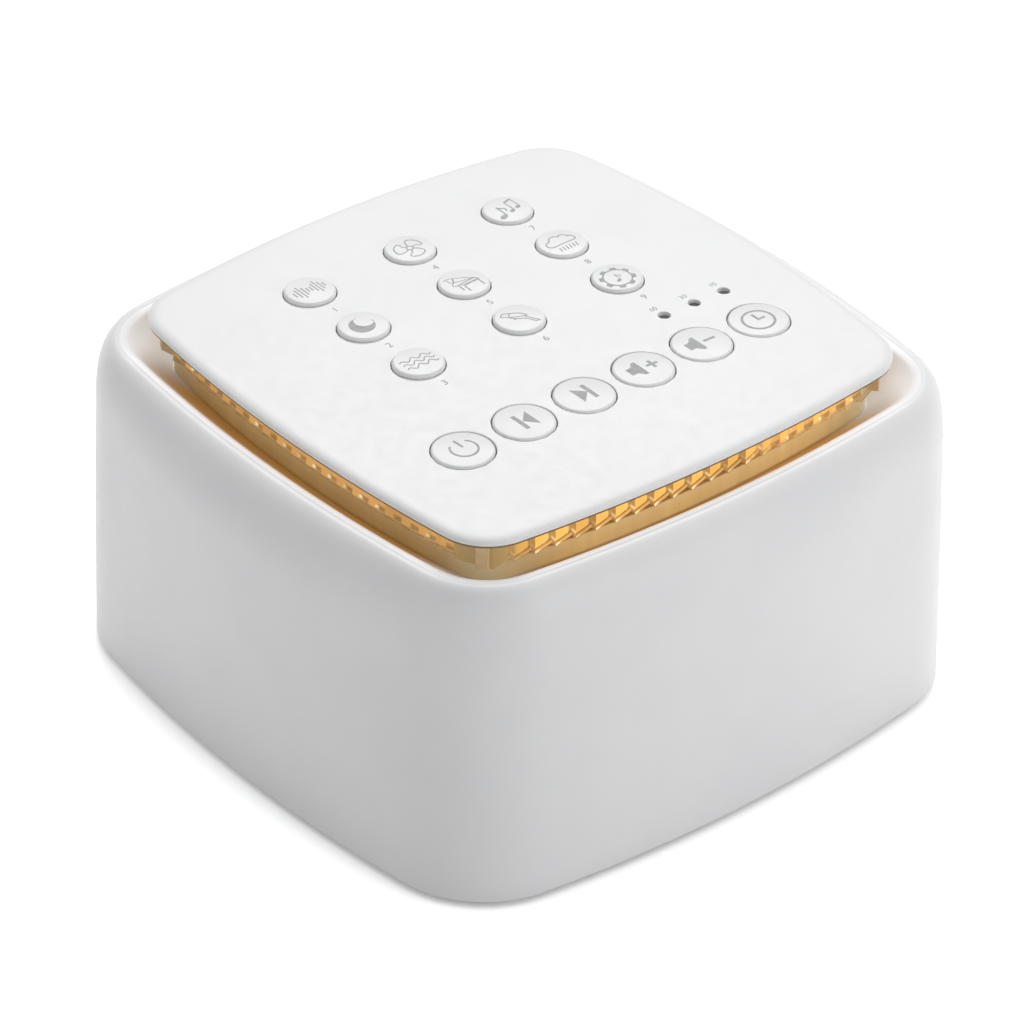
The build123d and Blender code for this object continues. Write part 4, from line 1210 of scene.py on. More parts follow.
@dataclass
class PanelMoulding:
    """Top panel: shallow dome with a rounded edge, a lip below it and eased holes."""

    edge_round: Point = (0.0019, 0.00062)
    skirt: float = 0.00112
    groove: float = 0.00008
    lip: Point = (0.0003, 0.00155)
    recess: float = 0.0014
    hole_ease: float = 0.0001
    hole_foot: float = 0.00012
    light_hole: float = 0.00105
    guard: float = 0.00015
    spacing: float = 0.0022
    clear_side: float = 0.003
    clear_corner: float = 0.00436
    clear_hole: float = 0.0008
    edge_steps: int = 9
    boss_radius: float = 0.003
    boss_inset: float = 0.004

    def boss_span(self) -> float:
        """X and Y of the screw bosses in the corners."""
        return (LEDGE_MOUTH.diagonal() - self.boss_inset) / math.sqrt(2)

    def holes(self) -> list[tuple[Point, float]]:
        """Middles and radii of all eighteen holes."""
        found = [((spot.x, spot.y), spot.radius + KEY_GAP) for spot in key_spots()]
        return found + [(spot, self.light_hole) for spot in timer_spots()]

    def circle(self, centre: Point, radius: float) -> list[Point]:
        """Points round a hole."""
        count = 72 if radius > 0.002 else 36
        return [polar(radius, 2 * math.pi * n / count, *centre) for n in range(count)]

    def fill(self) -> list[Point]:
        """Points spread over the panel, clear of its edge and its holes.

        Returns:
            The points.
        """
        reach = int(PANEL.half / self.spacing)
        ticks = [n * self.spacing for n in range(-reach, reach + 1)]
        holes = self.holes()

        def clear(x: float, y: float) -> bool:
            """Whether a place is clear of the sides, the corners and the holes.

            Args:
                x: The place.
                y: The place.

            Returns:
                True if it is.
            """
            low, high = sorted((abs(x), abs(y)))
            return (
                high + low**2 / (2 * PANEL.bow) < PANEL.half - self.clear_side
                and math.hypot(x, y) < PANEL.diagonal() - self.clear_corner
                and all(math.hypot(x - c[0], y - c[1]) > r + self.clear_hole for c, r in holes)
            )

        return [(x, y) for x in ticks for y in ticks if clear(x, y)]

    def build(self) -> None:
        """Builds the panel with its four bosses."""
        skin = Skin()
        holes = self.holes()
        rim = PANEL.inset(self.edge_round[0]).points()
        rings = [self.circle(c, r + self.hole_ease) for c, r in holes]
        guards = [self.circle(c, r + self.hole_ease + self.guard) for c, r in holes]
        guards.append(PANEL.inset(self.edge_round[0] + self.guard).points())

        def wanted(x: float, y: float) -> bool:
            """Whether a place is outside every hole."""
            return all(math.hypot(x - c[0], y - c[1]) > r for c, r in holes)

        points, faces, numbers = flat_triangles([rim, *rings, *guards], self.fill(), wanted)
        top = skin.loop(draped(points))
        under = skin.loop(draped(points, depth=PANEL_THICKNESS))
        for face in faces:
            skin.faces.append(tuple(top[i] for i in face))
            skin.faces.append(tuple(under[i] for i in reversed(face)))
        start = len(rim)

        def both(run: Iterable[int]) -> list[list[int]]:
            """Points of the upper and the lower face that stand for a run of given ones."""
            return [[face[numbers[n]] for n in run] for face in (top, under)]

        self.edge(skin, *both(range(start)))
        for (centre, radius), ring in zip(holes, rings):
            self.hole(skin, centre, radius, *both(range(start, start + len(ring))))
            start += len(ring)
        span = self.boss_span()
        root = dome_z(span, span, PANEL_THICKNESS * 0.6)
        skin.bosses(span, (self.boss_radius, DECK_Z), (self.boss_radius, root), 36)
        panel = skin.build("panel_moulding", 32.0)
        finish_piece(panel, WHITE_PANEL, CASING, "white_panel", "top_panel")
        self.dark_lip()

    def edge(self, skin: Skin, top: list[int], under: list[int]) -> None:
        """Rounds the panel's edge down to a fine groove, a skirt and the recess for the lip.

        Args:
            skin: The panel's mesh.
            top: Outermost points of the upper face.
            under: Outermost points of the lower face.
        """
        reach, fall = self.edge_round
        steps = [(reach * gap, fall * drop) for gap, drop in rounding(self.edge_steps)]
        steps += [(self.groove, fall + 0.00003), (self.groove, fall + 0.00009), (0.0, fall + 0.00013)]
        steps += [(0.0, self.skirt), (self.lip[0], self.skirt), (self.lip[0], self.recess)]
        loops = [skin.loop(draped(PANEL.inset(gap).points(), drop)) for gap, drop in steps]
        skin.stack([top, *loops, under])

    def dark_lip(self) -> None:
        """Builds a dark ring in the recess under the panel's edge: painted shade in the gap below the panel.
        """
        gap, low = self.lip
        skin = Skin()
        section = ((gap / 3, self.skirt), (gap / 2, low), (gap * 1.1, low), (gap * 1.1, self.skirt))
        loops = [skin.loop(draped(PANEL.inset(inset).points(), drop)) for inset, drop in section]
        skin.stack(loops, closed=True)
        finish_piece(skin.build("panel_lip"), PAINTED_LIP_SHADE, CASING, "white_panel")

    def hole(self, skin: Skin, centre: Point, radius: float, top: list[int], under: list[int]) -> None:
        """Eases a hole's rim and lines the hole.

        Args:
            skin: The panel's mesh.
            centre: Middle of the hole.
            radius: Radius of the hole.
            top: Points round the hole in the upper face.
            under: Points round the hole in the lower face.
        """
        ease = self.hole_ease
        rims = [draped(self.circle(centre, radius + ease * gap), ease * drop) for gap, drop in rounding(4)]
        rims.append(draped(self.circle(centre, radius), -self.hole_foot, PANEL_THICKNESS))
        skin.stack([top, *map(skin.loop, rims), under])


@dataclass
class PrismRing:
    """Light guide: a ring of saw teeth with a post at each corner, under the panel."""

    pitch_count: int = 21
    tooth: float = 0.0011
    post: Point = (0.0021, 0.0028)
    post_proud: float = 0.0004
    clear: float = 0.0012
    gap: float = 0.00005

    def side(self) -> list[Point]:
        """Corners of one toothed side along -Y, each tooth's tip and root in turn.

        Returns:
            The corners in order, along +X.
        """
        centre_y = GUIDE_ROOT.bow - GUIDE_ROOT.half
        sweep = math.asin((ROOT_CORNER - self.clear) / GUIDE_ROOT.bow)
        pitch = 2 * sweep / self.pitch_count
        corners = []
        for n in range(self.pitch_count):
            for share in (0.0, 1.0):
                angle = -sweep + (n + share) * pitch
                radius = GUIDE_ROOT.bow + self.tooth * (1 - share)
                corners.append((radius * math.sin(angle), centre_y - radius * math.cos(angle)))
        return corners

    def build(self) -> None:
        """Builds the ring, marks where each face lies on its tooth and adds the posts."""
        teeth = [spot for quarter in range(4) for spot in spun(self.side(), 90 * quarter)]
        levels = (0.0, 0.00018, 0.00022, 0.0008, 0.00084, None)
        offsets = (0.0, 0.0, -0.00008, -0.00008, -0.00016, -0.00016)
        skin = Skin()
        rings = [skin.loop(self.wall(teeth, *step)) for step in zip(levels, offsets)]
        shrink = (GUIDE_INNER.half - 0.0002) / GUIDE_ROOT.half
        inner = [(x * shrink, y * shrink) for x, y in teeth]
        rings.append(skin.loop(self.roof(inner)))
        rings.append(skin.loop((x, y, DECK_Z) for x, y in inner))
        skin.stack(rings, closed=True)
        ring = skin.build("prism_ring", 12.0)
        self.mark(ring.data, len(teeth))
        finish_piece(ring, PRISM, CASING, "amber_clear", "light_guide")
        self.posts()

    def roof(self, points: Iterable[Point]) -> list[Vector]:
        """Points laid on the top of the guide."""
        return draped(points, depth=PANEL_THICKNESS + self.gap)

    def wall(self, teeth: Sequence[Point], level: float | None, offset: float) -> list[Sequence[float]]:
        """The toothed loop at one level.

        Args:
            teeth: Corners of the loop.
            level: Height above the deck, or None for the roof.
            offset: How far the loop stands out.

        Returns:
            Points of the loop.
        """
        grow = 1 + offset / GUIDE_ROOT.half
        roof = self.roof(teeth)
        heights = [top.z if level is None else DECK_Z + level for top in roof]
        return [(x * grow, y * grow, z) for (x, y), z in zip(teeth, heights)]

    def mark(self, mesh: bpy.types.Mesh, count: int) -> None:
        """Writes each face corner's place along its tooth, two between teeth, and the tooth's number.

        Args:
            mesh: The toothed mesh.
            count: Points in a loop, where a tip is even and a root odd.
        """
        # These numbers lay out the painted light on each tooth.
        along, serial = (mesh.attributes.new(name, "FLOAT", "CORNER") for name in ("along", "serial"))
        for face in mesh.polygons:
            slots = {i: mesh.loops[i].vertex_index % count for i in face.loop_indices}
            low, high = min(slots.values()), max(slots.values())
            step = low % 2 == 1 or high - low != 1
            for i, slot in slots.items():
                along.data[i].value = 2.0 if step else float(slot % 2)
                serial.data[i].value = float(low // 2)

    def posts(self) -> None:
        """Builds the four square corner posts with eased edges."""
        skin = Skin()
        half, ease = self.post[0] / 2, 0.0002
        out = ROOT_CORNER * math.sqrt(2) + self.post_proud
        back = out - self.post[1]
        plan = [
            (out, ease - half), (out, half - ease), (out - ease, half), (back + ease, half),
            (back, half - ease), (back, ease - half), (back + ease, -half), (out - ease, -half),
        ]
        for degrees in (45, 135, 225, 315):
            spots = spun(plan, degrees)
            skin.block([(x, y, DECK_Z) for x, y in spots], self.roof(spots))
        finish_piece(skin.build("prism_posts", 20.0), POST, CASING, "amber_clear")


# ---------------------------------------------------------------- printed marks


FILM_GRID = 0.45
"""Longest edge of a mark's mesh, in millimetres."""

FILM_RISE = (0.000018, -0.00003)
"""How far a mark's two faces are from the surface that it is printed on, in metres."""


class Drawing:
    """Flat shapes in millimetres that are joined into one printed mark."""

    def __init__(self) -> None:
        """Starts with no shapes."""
        self.shapes: list[list[Point]] = []

    def patch(self, *points: Point) -> "Drawing":
        """Adds a filled shape."""
        self.shapes.append(list(points))
        return self

    def bar(self, left: float, low: float, right: float, high: float) -> "Drawing":
        """Adds an upright rectangle."""
        return self.patch((left, low), (right, low), (right, high), (left, high))

    def disc(
        self, x: float, y: float, wide: float, high: float | None = None, tilt: float = 0.0
    ) -> "Drawing":
        """Adds a filled circle, or an ellipse if its half height differs.

        Args:
            x: Its middle.
            y: Its middle.
            wide: Half of its width.
            high: Half of its height, or None for a circle.
            tilt: Its lean in degrees.

        Returns:
            This drawing.
        """
        turns = [2 * math.pi * n / 24 for n in range(24)]
        rim = spun([(wide * math.cos(turn), (high or wide) * math.sin(turn)) for turn in turns], tilt)
        return self.patch(*((x + a, y + b) for a, b in rim))

    def line(
        self, points: Sequence[Point], width: float, closed: bool = False, round_ends: bool = False
    ) -> "Drawing":
        """Adds a stroke of even width.

        Args:
            points: The stroke's middle line.
            width: Its width.
            closed: Whether it runs back to its start.
            round_ends: Whether its ends are round.

        Returns:
            This drawing.
        """
        spots = [Vector(point) for point in points]
        count = len(spots)
        left, right = [], []
        for n, spot in enumerate(spots):
            before = spots[n - 1] if n or closed else spot
            after = spots[(n + 1) % count] if n < count - 1 or closed else spot
            first = (spot - before).normalized() if before is not spot else (after - spot).normalized()
            last = (after - spot).normalized() if after is not spot else first
            lean = (first + last).normalized()
            reach = width / 2 / max(0.45, lean.dot(last))
            side = Vector((-lean.y, lean.x)) * reach
            left.append(spot + side)
            right.append(spot - side)
        for n in range(count if closed else count - 1):
            after = (n + 1) % count
            self.patch(*(tuple(p) for p in (left[n], left[after], right[after], right[n])))
        if round_ends:
            for end in (points[0], points[-1]):
                self.disc(*end, width / 2)
        return self

    def ring(self, x: float, y: float, radius: float, width: float) -> "Drawing":
        """Adds a stroke along a circle."""
        return self.line(arc_points(x, y, radius, 0, 360)[:-1], width, closed=True)

    def stroke(self, width: float, *corners: Point) -> "Drawing":
        """Adds a smooth stroke through corners, or a straight one between two."""
        return self.line(curve_points(*corners) if len(corners) > 2 else corners, width)

    def note(self, x: float, y: float, size: float) -> "Drawing":
        """Adds a quaver with its head at a place.

        Args:
            x: Middle of the head.
            y: Middle of the head.
            size: Size, where one is full size.

        Returns:
            This drawing.
        """
        stem = x + 0.62 * size
        flag = [(stem + a * size, y + b * size) for a, b in ((0.45, 2.4), (1.05, 1.9), (0.85, 1.15))]
        self.disc(x, y, 0.74 * size, 0.52 * size, 20)
        self.bar(stem - 0.04, y, stem + 0.22 * size, y + 3.1 * size)
        return self.stroke(0.26 * size, (stem + 0.05, y + 3.0 * size), *flag)

    def speaker(self) -> "Drawing":
        """Adds the loudspeaker of the two volume keys.

        Returns:
            This drawing.
        """
        return self.patch(
            (-2.98, -1.05), (-1.98, -1.05), (-1.15, -2.1), (-0.55, -2.1),
            (-0.55, 1.8), (-1.15, 1.8), (-1.98, 0.85), (-2.98, 0.85),
        )

    def covers(self, spot: Vector) -> bool:
        """Whether a place lies inside any of the shapes.

        Args:
            spot: The place.

        Returns:
            True if it does.
        """
        for shape in self.shapes:
            inside = False
            for (ax, ay), (bx, by) in zip(shape, [*shape[1:], shape[0]]):
                if (ay > spot.y) != (by > spot.y) and spot.x < ax + (bx - ax) * (spot.y - ay) / (by - ay):
                    inside = not inside
            if inside:
                return True
        return False

    def film(self, surface: Callable[[float, float], float], x: float, y: float) -> Skin:
        """Lays the drawing on a surface as one thin closed skin.

        Args:
            surface: Height of the surface at a place, in metres.
            x: Where the drawing's middle goes, in metres.
            y: Where the drawing's middle goes, in metres.

        Returns:
            The skin.
        """
        given: list[Vector] = []
        rings: list[list[int]] = []
        for shape in self.shapes:
            fine = finer(shape, FILM_GRID)
            rings.append(list(range(len(given), len(given) + len(fine))))
            given.extend(Vector(point) for point in fine)
        ticks = [n * FILM_GRID for n in range(-8, 9)]
        given.extend(Vector((a, b)) for a in ticks for b in ticks)
        points, _, faces, *_ = delaunay_2d_cdt(given, [], rings, 0, 1e-5)
        kept = [face for face in faces if self.covers(middle(points, face))]
        used = sorted({i for face in kept for i in face})
        place = {old: new for new, old in enumerate(used)}
        flat = [(x + points[i].x * MM, y + points[i].y * MM) for i in used]
        skin = Skin()
        top, low = (skin.loop((a, b, surface(a, b) + rise) for a, b in flat) for rise in FILM_RISE)
        sides: dict[tuple[int, int], None] = {}
        for face in kept:
            ring = [place[i] for i in face]
            skin.faces.append(tuple(top[i] for i in ring))
            skin.faces.append(tuple(low[i] for i in reversed(ring)))
            sides.update(dict.fromkeys(zip(ring, ring[1:] + ring[:1])))
        skin.faces += [(top[b], top[a], low[a], low[b]) for a, b in sides if (b, a) not in sides]
        return skin


def arc_points(x: float, y: float, radius: float, start: float, end: float) -> list[Point]:
    """Points along part of a circle, between two angles in degrees."""
    steps = max(4, int(abs(end - start) / 9))
    return [polar(radius, math.radians(start + (end - start) * n / steps), x, y) for n in range(steps + 1)]


def finer(shape: Sequence[Point], longest: float) -> list[Point]:
    """A shape's corners, with more points where they lie far apart.

    Args:
        shape: The corners of a closed shape.
        longest: The longest gap that is left.

    Returns:
        All the points in order.
    """
    points: list[Point] = []
    for (ax, ay), (bx, by) in zip(shape, [*shape[1:], shape[0]]):
        runs = max(1, math.ceil(math.hypot(bx - ax, by - ay) / longest))
        points += [(ax + (bx - ax) * n / runs, ay + (by - ay) * n / runs) for n in range(runs)]
    return points


def curve_points(*corners: Point) -> list[Point]:
    """A smooth line through corners, by Catmull and Rom's rule.

    Args:
        corners: The places that the line goes through.

    Returns:
        Points along the line.
    """
    ends = [corners[0], *corners, corners[-1]]
    line: list[Point] = []
    for p0, p1, p2, p3 in zip(ends, ends[1:], ends[2:], ends[3:]):
        for t in (n / 6 for n in range(6)):
            line.append(tuple(
                0.5 * (
                    2 * b + (c - a) * t + (2 * a - 5 * b + 4 * c - d) * t**2
                    + (3 * b - a - 3 * c + d) * t**3
                )
                for a, b, c, d in zip(p0, p1, p2, p3)
            ))
    return [*line, corners[-1]]


def draw_noise() -> Drawing:
    """Ten bars of a sound wave.

    Returns:
        The drawing.
    """
    drawing = Drawing()
    for n, height in enumerate((1.25, 2.5, 3.67, 2.45, 1.25) * 2):
        x = -2.75 + n * 0.63
        drawing.bar(x - 0.11, 0.2 - height / 2, x + 0.11, 0.2 + height / 2)
    return drawing


def draw_waves() -> Drawing:
    """Three lines of waves.

    Returns:
        The drawing.
    """
    drawing = Drawing()
    across = [-2.7 + 5.8 * n / 46 for n in range(47)]
    for y in (1.15, 0.07, -1.01):
        drawing.line([(x, y + 0.38 * math.sin(math.pi * (x + 2.7) + 0.3)) for x in across], 0.22)
    return drawing


def draw_fan() -> Drawing:
    """Three hooked blades round a hub, in line.

    Returns:
        The drawing.
    """
    drawing = Drawing().ring(0, 0, 0.56, 0.22)
    blade = curve_points(
        (-0.50, 0.32), (-1.35, 1.15), (-1.5, 2.05), (-0.2, 2.65), (1.05, 2.25), (1.15, 1.7), (0.45, 1.25),
        (0.22, 0.6),
    )
    for degrees in (60, 180, 300):
        drawing.line(spun(blade, degrees), 0.22)
    return drawing


def draw_rain() -> Drawing:
    """Cloud in line over six strokes of rain.

    Returns:
        The drawing.
    """
    arcs = ((-1.9, 0.35, 0.85, 270, 80), (-0.45, 1.05, 1.15, 165, 30), (1.0, 1.0, 0.95, 95, 0),
            (1.95, 0.3, 0.78, 60, -90))
    drawing = Drawing().line([point for arc in arcs for point in arc_points(*arc)], 0.24, closed=True)
    for x in (-1.5 + n * 0.66 for n in range(6)):
        drawing.line([(x, -1.2), (x - 0.22, -2.3)], 0.24)
    return drawing


def draw_gear() -> Drawing:
    """Toothed wheel round a quaver.

    Returns:
        The drawing.
    """
    drawing = Drawing().ring(-0.14, -0.17, 2.37, 0.28)
    for n in range(8):
        tooth = spun([(2.38, -0.62), (3.05, -0.46), (3.05, 0.46), (2.38, 0.62)], 45 * n + 22.5)
        drawing.patch(*(tuple(Vector(spot) + Vector((-0.14, -0.17))) for spot in tooth))
    return drawing.note(-0.55, -1.05, 0.62)


MARKS: dict[str, Drawing] = {
    # An open ring with a bar.
    "power": Drawing()
    .line(arc_points(-0.1, -0.35, 2.2, 135, 405), 0.37, round_ends=True)
    .line([(-0.1, 0.1), (-0.1, 2.1)], 0.42, round_ends=True),
    # A bar and a triangle.
    "previous": Drawing().bar(-1.45, -2.4, -0.71, 1.7).patch((-0.62, -0.35), (1.37, -2.4), (1.37, 1.7)),
    "next": Drawing().patch((-1.59, -2.25), (0.44, -0.2), (-1.59, 1.85)).bar(0.44, -2.25, 1.18, 1.85),
    # A loudspeaker with a plus or a minus.
    "volume_up": Drawing().speaker().bar(0.31, -0.57, 2.51, -0.04).bar(1.15, -1.4, 1.68, 0.8),
    "volume_down": Drawing().speaker().bar(0.18, -0.49, 2.5, 0.04),
    # A clock face with two hands.
    "timer": Drawing().ring(-0.5, -0.5, 2.62, 0.42).line([(-0.5, 1.2), (-0.5, -0.5), (0.9, -0.5)], 0.48),
    "sound_1": draw_noise(),
    # A crescent moon.
    "sound_2": Drawing()
    .patch(*arc_points(-0.2, 0.1, 2.15, 78, 372), *arc_points(0.75, 0.95, 1.62, 331, 120)),
    "sound_3": draw_waves(),
    "sound_4": draw_fan(),
    # A grand piano in line, with its lid up.
    "sound_5": Drawing()
    .stroke(0.16, (-2.4, 2.25), (-1.3, 2.25), (0.6, 1.2), (2.15, 0.15))
    .stroke(0.16, (-1.9, 2.05), (-1.95, 1.3), (-1.4, 0.85), (-0.3, 0.55), (1.9, 0.15))
    .stroke(0.24, (-0.85, 1.95), (-1.5, 0.8))
    .stroke(0.2, (-1.5, 0.8), (-2.05, 0.35), (-1.85, -0.2), (-1.1, -0.2))
    .stroke(0.2, (-0.85, -0.15), (2.2, 0.12))
    .stroke(0.4, (-0.55, -0.75), (2.6, -0.52))
    .stroke(0.22, (2.15, 0.2), (2.65, -0.5))
    .stroke(0.2, (-1.1, -0.2), (-0.6, -0.7))
    .stroke(0.24, (-1.4, -0.3), (-1.4, -1.9))
    .stroke(0.24, (-0.65, -0.95), (-0.65, -2.6))
    .stroke(0.24, (2.4, -0.75), (2.4, -2.35)),
    # A perched bird in line, facing left.
    "sound_6": Drawing()
    .stroke(0.22, (-2.1, 2.1), (-1.4, 2.45), (-0.45, 1.85), (0.25, 1.5), (1.0, 0.8), (1.5, -0.2))
    .stroke(0.2, (1.5, -0.2), (0.75, 0.0), (-0.25, 0.45), (-0.95, 0.85), (-1.05, 1.4), (-0.45, 1.85))
    .stroke(
        0.22, (-2.1, 2.1), (-2.2, 1.75), (-1.6, 1.35), (-1.1, 0.55), (-0.2, -0.25), (0.7, -0.85), (1.6, -2.3)
    )
    .line([(0.85, -0.05), (1.5, -1.2), (2.3, -2.3), (1.6, -2.3)], 0.22)
    .line([(-1.1, -0.05), (-0.8, 0.1), (-0.45, -0.15)], 0.24),
    # A quaver and a beamed pair.
    "sound_7": Drawing()
    .note(-1.95, -1.55, 1.0)
    .disc(0.3, -0.95, 0.52, 0.38, 20).disc(1.85, -0.4, 0.52, 0.38, 20)
    .bar(0.66, -0.95, 0.86, 2.0).bar(2.2, -0.4, 2.4, 2.6)
    .patch((0.66, 1.6), (2.4, 2.2), (2.4, 2.65), (0.66, 2.05)),
    "sound_8": draw_rain(),
    "sound_9": draw_gear(),
}


@dataclass
class KeySet:
    """Fifteen keycaps, each with its printed mark."""

    edge_radius: float = 0.00045
    wall: float = 0.0009
    ceiling: float = 0.0011
    flange: Point = (0.00055, 0.0007)
    post_radius: float = 0.0019

    def profile(self, spot: KeySpot) -> list[Point]:
        """Section of a keycap, from the middle of its face round to the foot of its post.

        Args:
            spot: The key.

        Returns:
            Radii and heights.
        """
        radius, edge = spot.radius, self.edge_radius
        points = [(reach, spot.fall(reach)) for reach in ((radius - edge) * n / 10 for n in range(11))]
        rim = spot.fall(radius - edge)
        points += [(radius - edge * gap, rim - edge * drop) for gap, drop in rounding(8)]
        skirt, ledge = radius + self.flange[0], PRESS_Z + self.flange[1]
        bore, roof = radius - self.wall, spot.top() - self.ceiling
        return points + [
            (radius, ledge), (skirt, ledge), (skirt, PRESS_Z), (bore, PRESS_Z), (bore, roof),
            (self.post_radius, roof), (self.post_radius, PRESS_Z), (0.0, PRESS_Z),
        ]

    def build(self) -> None:
        """Builds every keycap and its mark."""
        for spot in key_spots():
            cap = Skin()
            cap.turned((spot.x, spot.y), self.profile(spot), 96)
            piece = cap.build(f"cap_{spot.name}", 40.0)
            finish_piece(piece, WHITE_KEY, spot.body, "key_white", spot.node)
            right, up = spot.row.value
            film = MARKS[spot.name].film(spot.face_z, spot.x + right, spot.y + up)
            finish_piece(film.build(f"mark_{spot.name}", 20.0), INK, spot.body, "key_white")


@dataclass
class PanelNumbers:
    """Printed numbers: one to nine under the sound keys, and the minutes by the timer's lights."""

    key_size: float = 0.00195
    key_drop: float = 0.00715
    timer_size: float = 0.00142
    timer_shift: Point = (-0.00025, 0.00195)
    timer_minutes: tuple[str, ...] = ("60", "30", "10")
    sunk: float = 0.000004

    def number(self, words: str, name: str, x: float, y: float, size: float) -> None:
        """Prints one number on the panel.

        Args:
            words: The digits.
            name: The piece's name.
            x: Middle of the number.
            y: Base line of the number.
            size: Size of the type.
        """
        kind = bpy.data.curves.new(name, "FONT")
        kind.body = words
        kind.size = size
        kind.align_x = "CENTER"
        kind.extrude = 0.00002
        kind.resolution_u = 6
        letter = put(name, kind)
        mesh = final_mesh(letter)
        bpy.data.objects.remove(letter)
        for vertex in mesh.vertices:
            vertex.co += Vector((x, y, 0))
            vertex.co.z += dome_z(vertex.co.x, vertex.co.y) - self.sunk
        finish_piece(put(name, mesh), PANEL_INK, CASING, "white_panel")

    def build(self) -> None:
        """Prints all twelve numbers."""
        sounds = [spot for spot in key_spots() if spot.row is KeyRow.SOUNDS]
        for n, spot in enumerate(sounds, 1):
            self.number(str(n), f"number_{n}", spot.x, spot.y - self.key_drop, self.key_size)
        right, up = self.timer_shift
        for words, (x, y) in zip(self.timer_minutes, timer_spots()):
            self.number(words, f"minutes_{words}", x + right, y + up, self.timer_size)


@dataclass
class InnerWorks:
    """Pieces of the frame that keep their own shape and only take a finish."""

    groups: tuple[tuple[Finish, str], ...] = (
        (WHITE_SHELL, "base_plate"),
        (RUBBER, "rubber_feet"),
        (STEEL, "base_screws housing_screws panel_screws board_screws speaker_screws main_board_screws"),
        (STEEL, "power_socket"),
        (HOUSING_PLASTIC, "inner_housing"),
        (PIPE, "light_pipes"),
        (BOARD_GREEN, "control_board main_board"),
        (SWITCH_BLACK, "tact_switches socket_tongue"),
        (AMBER_CHIP, "accent_lights"),
        (WHITE_CHIP, "timer_lights"),
        (FRAME_STEEL, "speaker_frame"),
        (FOAM, "speaker_gasket"),
        (FERRITE, "speaker_magnet"),
        (YOKE_STEEL, "speaker_yoke"),
        (CONE_PAPER, "speaker_cone dust_cap"),
        (COPPER, "voice_coil"),
        (SURROUND, "speaker_surround"),
        (SPIDER, "speaker_spider"),
        (RIBBON, "ribbon_cable"),
        (PLUNGER_BLACK, " ".join(f"plunger_{spot.name}" for spot in key_spots())),
    )

    def dress(self) -> None:
        """Gives every kept piece its finish."""
        for finish, names in self.groups:
            for name in names.split():
                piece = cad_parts[name]
                if not piece.material_slots:
                    piece.data.materials.append(None)
                for slot in piece.material_slots:
                    slot.material = dressed(finish)
                log.info("%s: %s", name, finish.name)


# ---------------------------------------------------------------- studio


def heading(azimuth: float, elevation: float) -> Vector:
    """Direction from the object towards the side and the height that two angles in degrees give."""
    turn, lift = math.radians(azimuth), math.radians(elevation)
    return Vector((math.sin(turn) * math.cos(lift), -math.cos(turn) * math.cos(lift), math.sin(lift)))


@dataclass(frozen=True)
class SoftBox:
    """A square soft light that faces the middle of the object."""

    name: str
    azimuth: float
    elevation: float
    power: float
    distance: float = 0.8
    size: float = 0.5

    def hang(self) -> None:
        """Puts the light in the scene."""
        lamp = bpy.data.lights.new(self.name, "AREA")
        lamp.shape = "SQUARE"
        lamp.size = self.size
        lamp.energy = self.power
        holder = put(self.name, lamp)
        away = heading(self.azimuth, self.elevation)
        holder.location = Vector((0, 0, 0.03)) + away * self.distance
        holder.rotation_euler = away.to_track_quat("Z", "Y").to_euler()


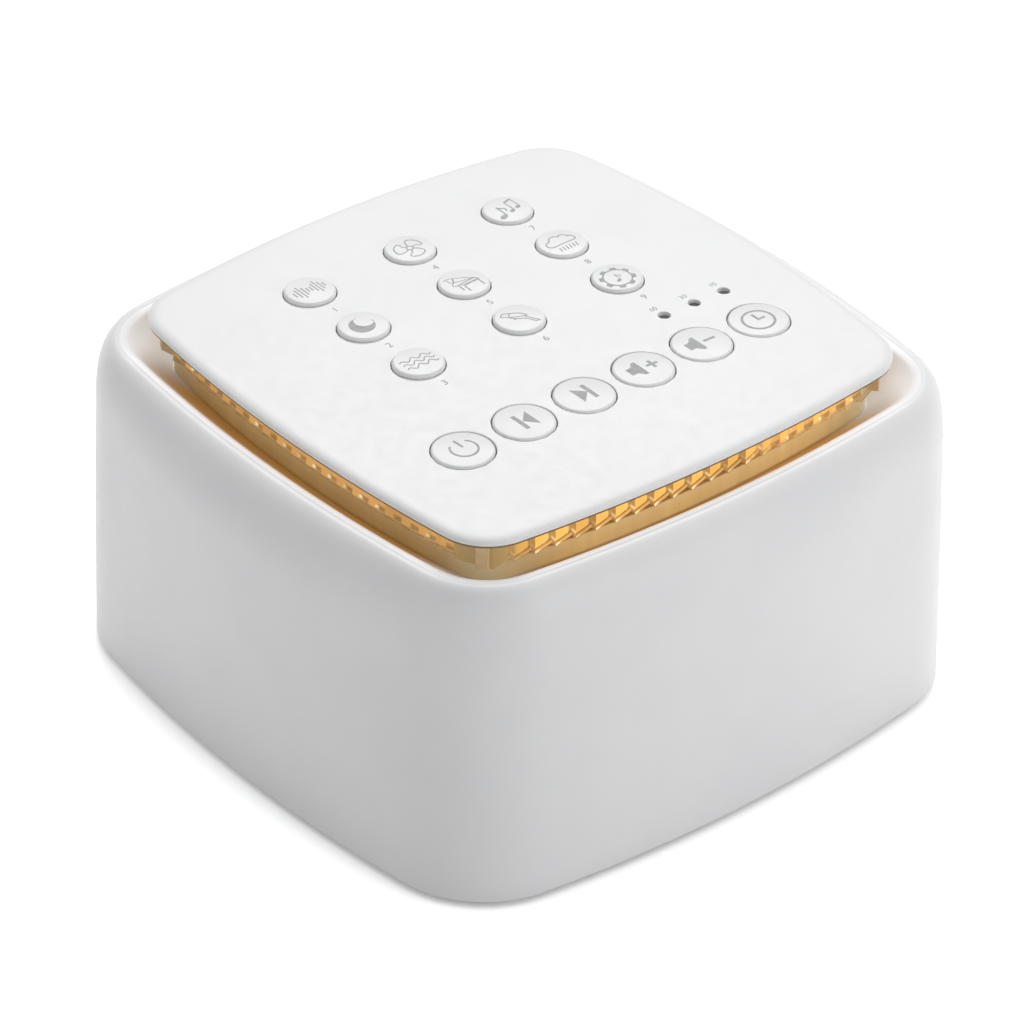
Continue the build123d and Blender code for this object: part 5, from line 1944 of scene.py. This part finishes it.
@dataclass
class Studio:
    """Plain white studio: floor, soft lights, pale surroundings and the camera."""

    azimuth: float = -39.9373
    elevation: float = 34.0241
    roll: float = 0.7637
    distance: float = 0.786109
    slide: Point = (-0.00108, -0.029587)
    lens: float = 175.88
    sensor: float = 36.0
    surround: float = 0.15
    floor_colour: float = 0.82
    shadow_reach: float = 0.010
    boxes: tuple[SoftBox, ...] = (
        SoftBox("top_box", 0.0, 90.0, 0.45),
        SoftBox("left_box", -95.0, 15.0, 1.05),
        SoftBox("left_back_box", -130.0, 15.0, 0.38),
        SoftBox("front_box", -50.0, 15.0, 0.14),
        SoftBox("right_box", 20.0, 15.0, 2.15),
        SoftBox("right_high_box", 30.0, 50.0, 0.75),
        SoftBox("back_high_box", 140.0, 50.0, 3.9),
    )

    def surroundings(self) -> None:
        """White world for what is seen, and a softer one for what it lights."""
        sheet = Sheet("studio_surroundings", world=True)
        bpy.context.scene.world = sheet.owner
        soft = sheet.add("ShaderNodeBackground", {"Color": (0.97, 0.98, 1.0, 1.0), "Strength": self.surround})
        white = sheet.add("ShaderNodeBackground", {"Color": (1.0, 1.0, 1.0, 1.0)})
        sheet.add("ShaderNodeOutputWorld", {"Surface": sheet.seen(soft, white).outputs[0]})

    def floor(self) -> None:
        """White floor whose seen emission is darkened by ambient occlusion near the object, a painted contact
        shadow, over a diffuse part that keeps the real shadow.
        """
        skin = Skin()
        skin.faces.append(tuple(skin.loop([(-2, -2, 0), (2, -2, 0), (2, 2, 0), (-2, 2, 0)])))
        floor = skin.build("studio_floor")
        sheet = Sheet("floor_paper")
        # Painted contact shadow: ambient occlusion darkens the floor's white emission near the object.
        shade = sheet.add("ShaderNodeAmbientOcclusion", {"Distance": self.shadow_reach}, samples=16)
        glow = sheet.add("ShaderNodeEmission", {"Color": shade.outputs["Color"], "Strength": 1.0})
        matt = sheet.add("ShaderNodeBsdfDiffuse", {"Color": (*[self.floor_colour] * 3, 1.0)})
        both = sheet.add("ShaderNodeAddShader", {0: glow.outputs[0], 1: matt.outputs[0]})
        sheet.add("ShaderNodeOutputMaterial", {"Surface": sheet.seen(matt, both).outputs[0]})
        floor.data.materials.append(sheet.owner)

    def camera(self) -> None:
        """Camera at the viewing angle."""
        turn, lean = math.radians(self.azimuth), math.radians(self.roll)
        back = heading(self.azimuth, self.elevation)
        right = Vector((math.cos(turn), math.sin(turn), 0))
        up = back.cross(right)
        across = right * math.cos(lean) + up * math.sin(lean)
        above = up * math.cos(lean) - right * math.sin(lean)
        spot = Vector((0, 0, CROWN_Z)) + across * self.slide[0] + above * self.slide[1] + back * self.distance
        lens = bpy.data.cameras.new("studio_camera")
        lens.lens, lens.sensor_width = self.lens, self.sensor
        lens.clip_start, lens.clip_end = 0.01, 20.0
        holder = put("studio_camera", lens)
        pose = Matrix((across, above, back)).transposed().to_4x4()
        pose.translation = spot
        holder.matrix_world = pose
        bpy.context.scene.camera = holder

    def set_up(self) -> None:
        """Puts everything of the studio in place."""
        bpy.context.scene.view_settings.view_transform = "Standard"
        self.camera()
        self.surroundings()
        self.floor()
        for box in self.boxes:
            box.hang()
        log.info("studio: %d soft lights", len(self.boxes))


def main() -> None:
    """Builds the studio and every piece."""
    logging.basicConfig(level=logging.INFO, format="%(name)s %(message)s")
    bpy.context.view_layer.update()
    Studio().set_up()
    ShellMoulding().build()
    PanelMoulding().build()
    PrismRing().build()
    KeySet().build()
    PanelNumbers().build()
    InnerWorks().dress()
    bpy.context.view_layer.update()


if __name__ == "__main__":
    main()
